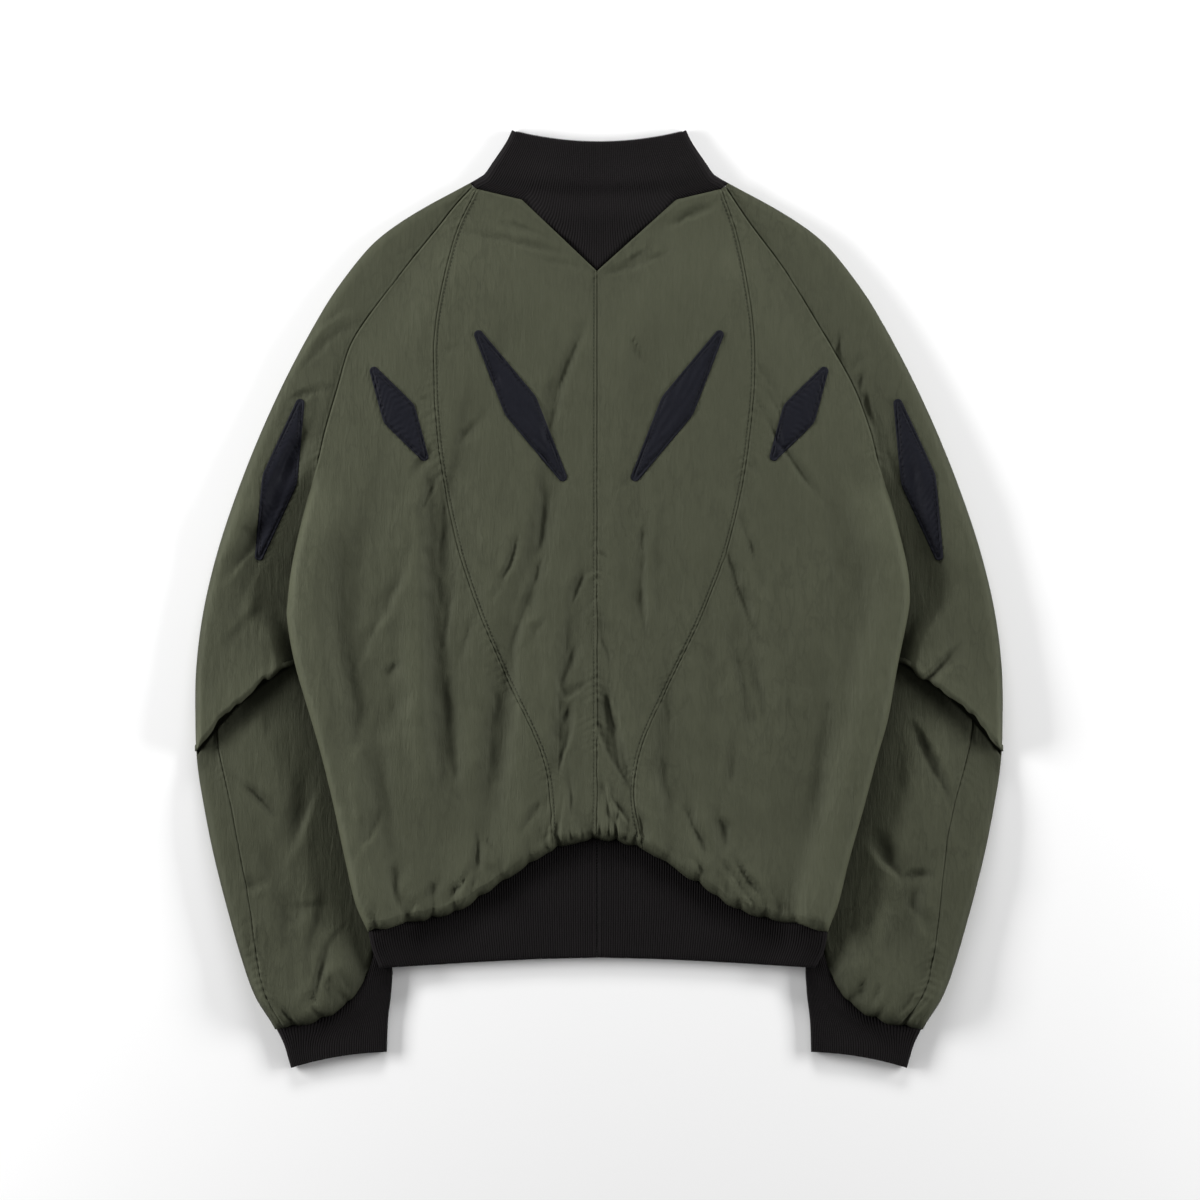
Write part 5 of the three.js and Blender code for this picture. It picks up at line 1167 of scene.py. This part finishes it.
def cuffTube(side):
    sign = signOf(side)
    v = np.concatenate([[0.0, 0.02], np.linspace(0.06, 0.95, 22), [0.975, 0.99, 1.0]])
    read = {name: readTable(cuffRows, "v", name, v) for name in cuffRows}
    shift = 1.6 * (1 - smooth(v * 12))
    a = np.stack([sign * (read["innerX"] + shift * 0.7), read["innerY"] + shift * 0.7], -1)
    b = np.stack([sign * read["outerX"], read["outerY"] + shift], -1)
    width = np.hypot(*(b - a).T)
    columns = ribColumns(98)
    share = 0.5 - 0.5 * np.cos(np.linspace(0, math.pi, columns))
    share = lerp(np.linspace(0, 1, columns), share, 0.35)
    across = width[:, None] * share[None, :]
    x, y = rowPlan(a, b, read["bow"], across)[:2]
    up = edgeUp(across, cloth["ribRadius"], 1.0) * edgeUp(width[:, None] - across, cloth["ribRadius"], 1.0)
    toSeam = (v * 90)[:, None]
    z = cloth["ribLaid"] - 0.3 + 0.7 * (layeredNoise(x / 40, y / 30, 79) - 0.5)
    z = z - 1.2 * np.exp(-((toSeam / 3.0) ** 2))
    over = liftTo(x, y, z, up, wall=cloth["ribWall"])
    under = layUnder(x, y, up, wall=cloth["ribWall"]) + (0, 0, ribLook["height"] * 0.5)
    plain = np.concatenate([over, under[:, -2:0:-1]], 1)
    over[..., 2] += ribRelief(columns)[None, :] * up
    under[..., 2] -= ribRelief(columns)[None, :] * up
    return np.concatenate([over, under[:, -2:0:-1]], 1), plain


# The cut of a laid piece: how wide and long it is in plan, and the area of its surface, in metres.
def cutOf(parts):
    area = 0.0
    for points in parts:
        a, b, c, d = points[:-1, :-1], points[:-1, 1:], points[1:, 1:], points[1:, :-1]
        area += 0.5 * np.linalg.norm(np.cross(b - a, c - a), axis=-1).sum()
        area += 0.5 * np.linalg.norm(np.cross(c - a, d - a), axis=-1).sum()
    every = np.concatenate([points.reshape(-1, 3) for points in parts])
    width, length = np.ptp(every[:, 0]), np.ptp(every[:, 1])
    if area > width * length:
        width = area / length
    return round(width * 0.001, 3), round(length * 0.001, 3), round(area * 1e-6, 4)


def addSheet(name, parts, material, thickness, facing=1, wrap=False):
    pairs = [part if isinstance(part, tuple) else (part, part) for part in parts]
    turns = facing if isinstance(facing, list) else [facing] * len(parts)
    verts, faces, start = [], [], 0
    for (points, plain), turn in zip(pairs, turns):
        partVerts, partFaces = sheetMesh(points, plain, thickness, turn, wrap)
        verts.append(partVerts)
        faces.append(partFaces + start)
        start += len(partVerts)
    plains = [np.concatenate([plain, plain[:, :1]], 1) if wrap else plain for points, plain in pairs]
    faces = np.concatenate(faces).tolist()
    obj = makeObject(name + "_cloth", np.concatenate(verts), faces, material)
    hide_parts(name)
    width, length, area = cutOf(plains)
    if wrap:
        width = 2 * width
    triangles = sum(len(p.vertices) - 2 for p in obj.data.polygons)
    print(f"{name}: cut {width:.3f} x {length:.3f} m, {area:.4f} m2, {triangles} triangles")
    return obj


def addShell(name, parts, facing=1):
    return addSheet(name, parts, shellMat, cloth["shellSheet"], facing)


def addRib(name, part, facing=1):
    return addSheet(name, [part], ribMat, cloth["ribSheet"], facing)


# Every piece replaces the solid of the same name.
shellTops, shellObjects = [], []
for side in ("left", "right"):
    frontName, stripName = "front_" + side, "sleeve_front_" + side
    middle = backMiddle(side)
    keepGrid("back_middle_" + side, [middle])
    shellObjects.append(addShell("back_middle_" + side, [middle]))
    outer = backSide(side)
    keepGrid("back_side_" + side, [outer])
    shellObjects.append(addShell("back_side_" + side, [outer]))
    shellObjects.append(addShell(frontName, [laidFront(side)], -1))
    upper, lower, strip = sleeveUpper(side), sleeveLower(side), sleeveStrip(side)
    keepGrid("sleeve_back_" + side, [upper[:-2], lower])
    keepGrid(stripName, [strip])
    shellObjects.append(addShell("sleeve_back_" + side, [upper, lower]))
    shellObjects.append(addShell(stripName, [strip, sleeveUnder(side)], [1, -1]))
    shellTops += [middle, outer, upper, lower, strip]
    print("shell laid,", side)

addRib("collar_back", collarBack())
for side in ("left", "right"):
    addRib("collar_front_" + side, collarFront(side), -1)
    addRib("hem_back_" + side, hemBack(side))
    addRib("hem_front_" + side, hemFront(side), -1)
    addSheet("cuff_" + side, [cuffTube(side)], ribMat, cloth["cuffSheet"], 1, True)
print("ribs laid")


# Painted shade and painted light: the cloth's colour is darkened in its hollows, beside higher cloth and all
# over the sleeves, and lightened on its crests, measured against the height all round, in place of the shade
# and light that lamps would give.
paintedShadeLook = {
    "cell": 4.0, "half": 480.0, "wide": 26.0, "near": 7.0, "wideDepth": 10.0, "nearDepth": 13.0,
    # The sleeve value is painted shade laid over all the sleeves; the lowest value lets crests take painted
    # light.
    "sleeve": 0.17, "crestPaintedLight": 0.27, "above": 1.2, "belowRound": 7.0,
}


def softened(field, width):
    reach = int(3 * width / paintedShadeLook["cell"])
    weights = np.exp(-0.5 * (np.arange(-reach, reach + 1) * paintedShadeLook["cell"] / width) ** 2)
    for axis in (0, 1):
        field = np.apply_along_axis(np.convolve, axis, field, weights / weights.sum(), mode="same")
    return field


def heightAllRound(tops, width):
    cells = int(2 * paintedShadeLook["half"] / paintedShadeLook["cell"])
    total, count = np.zeros((cells, cells)), np.zeros((cells, cells))
    for points in tops:
        i = ((points[..., 0] + paintedShadeLook["half"]) / paintedShadeLook["cell"]).astype(int)
        j = ((points[..., 1] + paintedShadeLook["half"]) / paintedShadeLook["cell"]).astype(int)
        np.add.at(total, (i, j), points[..., 2])
        np.add.at(count, (i, j), 1)
    filled = (count > 0) * 1.0
    mean = total / np.maximum(count, 1)
    return softened(mean, width) / np.maximum(softened(filled, width), 1e-6)


def readField(field, x, y):
    u = (x + paintedShadeLook["half"]) / paintedShadeLook["cell"] - 0.5
    v = (y + paintedShadeLook["half"]) / paintedShadeLook["cell"] - 0.5
    i, j = np.floor(u).astype(int), np.floor(v).astype(int)
    low = lerp(field[i, j], field[i + 1, j], u - i)
    high = lerp(field[i, j + 1], field[i + 1, j + 1], u - i)
    return lerp(low, high, v - j)


# Writes the painted shade into each shell vertex as the attribute fold: 0.5 leaves the colour as it is, more
# darkens it, less lightens it.
def paintFoldShade(obj, wide, near, paintedShade):
    spots = np.empty(len(obj.data.vertices) * 3)
    obj.data.vertices.foreach_get("co", spots)
    x, y, z = spots.reshape(-1, 3).T * 1000
    wideLevel, nearLevel = readField(wide, x, y), readField(near, x, y)
    low = (wideLevel - z) / paintedShadeLook["wideDepth"] + (nearLevel - z) / paintedShadeLook["nearDepth"]
    # What lies below stays as it is.
    seen = (z > nearLevel - paintedShadeLook["belowRound"]) & (z > paintedShadeLook["above"])
    # The sleeves' extra painted shade fades towards the shoulders.
    paintedShade = paintedShade * lerp(0.3, 1.0, smooth((320 - y) / 240))
    value = np.where(seen, np.clip(0.5 + paintedShade + 0.5 * low, paintedShadeLook["crestPaintedLight"], 1.1), 0.5)
    obj.data.attributes.new("fold", "FLOAT", "POINT").data.foreach_set("value", value)


wideHeight = heightAllRound(shellTops, paintedShadeLook["wide"])
nearHeight = heightAllRound(shellTops, paintedShadeLook["near"])
for obj in shellObjects:
    paintFoldShade(obj, wideHeight, nearHeight, paintedShadeLook["sleeve"] if obj.name.startswith("sleeve") else 0.0)
print("folds toned")


# Lozenge patches: a thin puffed skin laid on the panel below it, with its edge pressed down.
def patchGrid(side, name):
    middleX, middleY, dx, dy, length = lozengeLine(side, name)
    tip, halfWidth = patchLook["tip"], patchLook["halfWidth"]
    ends = length / 2 - tip
    s = ends * np.linspace(-1, 1, 90)
    turn = np.sin(np.linspace(0, math.pi / 2, 7))[1:]
    s = np.concatenate([-ends - tip * turn[::-1] * 0.999, s, ends + tip * turn * 0.999])
    straight = tip + (halfWidth - tip) * (1 - np.sqrt(s * s + 6.0) / ends)
    rounded = np.sqrt(np.maximum(0.02, tip * tip - np.maximum(0, np.abs(s) - ends) ** 2))
    half = np.where(np.abs(s) > ends, rounded, np.maximum(straight, tip * 0.98))
    w = np.sin(np.linspace(-1, 1, 31) * math.pi / 2)
    along = np.repeat(s[:, None], 31, 1)
    across = half[:, None] * w[None, :]
    x = middleX + along * dx - across * dy
    y = middleY + along * dy + across * dx
    away = np.minimum(half[:, None] * (1 - np.abs(w[None, :])), (length / 2 - np.abs(along)) * 0.9)
    puff = patchLook["stand"] * edgeUp(away, 1.2, 1.0) + patchLook["puff"] * smooth(away / 9)
    turns = 2 * math.pi * along / patchLook["rippleEvery"]
    ripple = 0.22 * np.sin(turns + 3 * latticeNoise(along / 13, across / 20, 23)) * np.exp(-away / 5)
    puff = puff + ripple + 0.35 * (layeredNoise(x / 11, y / 17, 25) - 0.5)
    puff = puff - 0.45 * np.exp(-(((away - patchLook["dipAt"]) / 0.6) ** 2))
    z = np.zeros_like(x)
    panel = patchPlaces[name]["panel"] + "_" + side
    for i in range(x.shape[0]):
        for j in range(x.shape[1]):
            z[i, j] = heightOn(panel, x[i, j], y[i, j], 12.0)
    return np.stack([x, y, z + puff], -1)


for side in ("left", "right"):
    for name in patchPlaces:
        points = patchGrid(side, name)
        node = "patch_" + name + "_" + side
        keepGrid(node, [points])
        addSheet(node, [points], patchMat, cloth["patchSheet"])
print("patches laid")


# Stitches: short threads that rest on the cloth, one after another.
def stitchParts(places, length=2.3, gap=1.2, radius=0.25):
    places = np.asarray(places)
    steps = np.linalg.norm(np.diff(places, axis=0), axis=1)
    total = np.concatenate([[0], np.cumsum(steps)])
    starts = np.arange(0.5, total[-1] - length, length + gap)
    # Along a stitch: the place, the share of its radius and how far it rises.
    shape = [(0.0, 0.25, -0.2), (0.18, 0.95, 0.12), (0.5, 1.0, 0.22), (0.82, 0.95, 0.12), (1.0, 0.25, -0.2)]
    verts, faces = [], []
    for start in starts:
        base = len(verts)
        for share, size, rise in shape:
            at = start + share * length
            centre = np.array([np.interp(at, total, places[:, k]) for k in range(3)])
            ahead = np.array([np.interp(at + 0.3, total, places[:, k]) for k in range(3)])
            behind = np.array([np.interp(at - 0.3, total, places[:, k]) for k in range(3)])
            along = ahead - behind
            along = along / max(np.linalg.norm(along), 1e-6)
            sideways = np.array([-along[1], along[0], 0.0])
            for angle in range(5):
                turn = 2 * math.pi * angle / 5
                verts.append(centre + sideways * math.cos(turn) * radius * size
                             + np.array([0, 0, 1.0]) * (math.sin(turn) * radius * size + rise + 0.12))
        for ring in range(4):
            for angle in range(5):
                p, q = base + 5 * ring + angle, base + 5 * ring + (angle + 1) % 5
                faces.append((p, q, q + 5, p + 5))
        faces.append((base + 4, base + 3, base + 2, base + 1, base))
        faces.append(tuple(base + 20 + k for k in range(5)))
    return verts, faces


def stitchObject(name, runs, material):
    verts, faces = [], []
    for places in runs:
        moreVerts, moreFaces = stitchParts(places)
        faces += [tuple(i + len(verts) for i in face) for face in moreFaces]
        verts += moreVerts
    return makeObject(name, verts, faces, material)


def restOn(panel, xs, ys, fallback=11.0):
    return np.array([(x, y, heightOn(panel, x, y, fallback)) for x, y in zip(xs, ys)])


def offsetLine(xs, ys, by):
    dx, dy = np.gradient(xs), np.gradient(ys)
    length = np.hypot(dx, dy)
    return xs - by * dy / length, ys + by * dx / length


stitchAt = seamLook["stitchAt"]
seamRuns = []
middleY = np.linspace(284, -204, 330)
seamRuns.append(restOn("back_middle_left", np.full_like(middleY, cloth["backSeamX"] - stitchAt), middleY))
for side in ("left", "right"):
    sign = signOf(side)
    seamY = np.linspace(354, -212, 380)
    seamX = sign * readTable(sideBackSeam, "y", side, seamY)
    xs, ys = offsetLine(seamX, seamY, -sign * stitchAt)
    seamRuns.append(restOn("back_middle_" + side, xs, ys))
stitchObject("seam_stitches", seamRuns, threadWithStitchShadeMat)

patchRuns = []
for side in ("left", "right"):
    for name in patchPlaces:
        middleX, middleY, dx, dy, length = lozengeLine(side, name)
        reach = length / 2 - patchLook["stitchFromTip"]
        half = patchLook["halfWidth"] - patchLook["stitchIn"]
        corners = [(-reach, 0), (0, -half), (reach, 0), (0, half), (-reach, 0)]
        s = np.concatenate([np.linspace(p[0], q[0], 50) for p, q in zip(corners[:-1], corners[1:])])
        w = np.concatenate([np.linspace(p[1], q[1], 50) for p, q in zip(corners[:-1], corners[1:])])
        xs, ys = middleX + s * dx - w * dy, middleY + s * dy + w * dx
        patchRuns.append(restOn("patch_" + name + "_" + side, xs, ys, 12.5))
stitchObject("patch_stitches", patchRuns, darkThreadMat)
print("stitches laid")


# Zip teeth: two rows of small blocks that mesh, in place of the plain chain.
zipLook = {
    "bottom": -313.0, "top": 360.0, "pitch": 2.6, "half": 2.2, "past": 0.7, "low": 2.6, "high": 4.2,
    "bevel": 0.35, "inset": 0.25,
}


def zipTeeth():
    verts, faces = [], []
    low, high, bevel, inset = (zipLook[key] for key in ("low", "high", "bevel", "inset"))
    half = zipLook["pitch"] * 0.36
    y = zipLook["bottom"]
    odd = 0
    while y < zipLook["top"]:
        toRight = odd % 2
        left = -zipLook["past"] if toRight else -zipLook["half"]
        right = zipLook["half"] if toRight else zipLook["past"]
        base = len(verts)
        for z, inward in ((low, inset), (low + bevel, 0.0), (high - bevel, 0.0), (high, inset)):
            for x, turn in ((left, -1), (right, -1), (right, 1), (left, 1)):
                verts.append((x + (inward if x == left else -inward), y + turn * (half - inward), z))
        for ring in range(3):
            for k in range(4):
                p, q = base + 4 * ring + k, base + 4 * ring + (k + 1) % 4
                faces.append((p, q, q + 4, p + 4))
        faces.append((base + 3, base + 2, base + 1, base))
        faces.append((base + 12, base + 13, base + 14, base + 15))
        y += zipLook["pitch"] / 2
        odd += 1
    obj = makeObject("zip_teeth", verts, faces, metalMat, False)
    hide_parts("zip_chain")


zipTeeth()
newLooks = {
    "zip_tape_left": tapeMat, "zip_tape_right": tapeMat, "zip_slider": metalMat, "zip_pull": metalMat,
}
for node, material in newLooks.items():
    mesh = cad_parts[node].data
    mesh.materials.clear()
    mesh.materials.append(material)
print("zip made")

# Floor, light and camera.
stageLook = {"size": 6.0, "below": 0.0006, "tone": (0.95, 0.95, 0.95, 1)}
floorMesh = bpy.data.meshes.new("floor")
half = stageLook["size"] / 2
corners = [(x * half, y * half, -stageLook["below"]) for x, y in ((-1, -1), (1, -1), (1, 1), (-1, 1))]
floorMesh.from_pydata(corners, [], [(0, 1, 2, 3)])
floorMat = bpy.data.materials.new("pale floor")
floorMat.use_nodes = True
floorMat.node_tree.nodes["Principled BSDF"].inputs["Base Color"].default_value = stageLook["tone"]
floorMat.node_tree.nodes["Principled BSDF"].inputs["Roughness"].default_value = 0.9
floorMesh.materials.append(floorMat)
floor = bpy.data.objects.new("floor", floorMesh)
bpy.context.collection.objects.link(floor)

world = bpy.data.worlds.new("studio")
world.use_nodes = True
world.node_tree.nodes["Background"].inputs["Color"].default_value = (1, 1, 1, 1)
world.node_tree.nodes["Background"].inputs["Strength"].default_value = 0.15
bpy.context.scene.world = world


def softLight(name, place, aim, size, power):
    data = bpy.data.lights.new(name, "AREA")
    data.shape = "RECTANGLE"
    data.size, data.size_y = size
    data.energy = power
    light = bpy.data.objects.new(name, data)
    light.location = place
    light.rotation_euler = (Vector(aim) - Vector(place)).to_track_quat("-Z", "Y").to_euler()
    bpy.context.collection.objects.link(light)
    return light


softLight("left bank", (-2.2, 0.2, 0.78), (0, 0, 0), (1.5, 0.5), 66)
softLight("right bank", (2.2, 0.2, 0.78), (0, 0, 0), (1.5, 0.5), 50)
softLight("top bank", (0.0, 2.1, 0.95), (0, 0, 0), (1.5, 0.5), 36)
bpy.context.scene.view_settings.view_transform = "Standard"

cameraData = bpy.data.cameras.new("camera")
cameraData.type = "ORTHO"
cameraData.ortho_scale = 1200 * photoGrid["step"] * 0.001
camera = bpy.data.objects.new("camera", cameraData)
camera.location = (0.00088, -0.00088, 3.0)
bpy.context.collection.objects.link(camera)
bpy.context.scene.camera = camera

print("scene done")
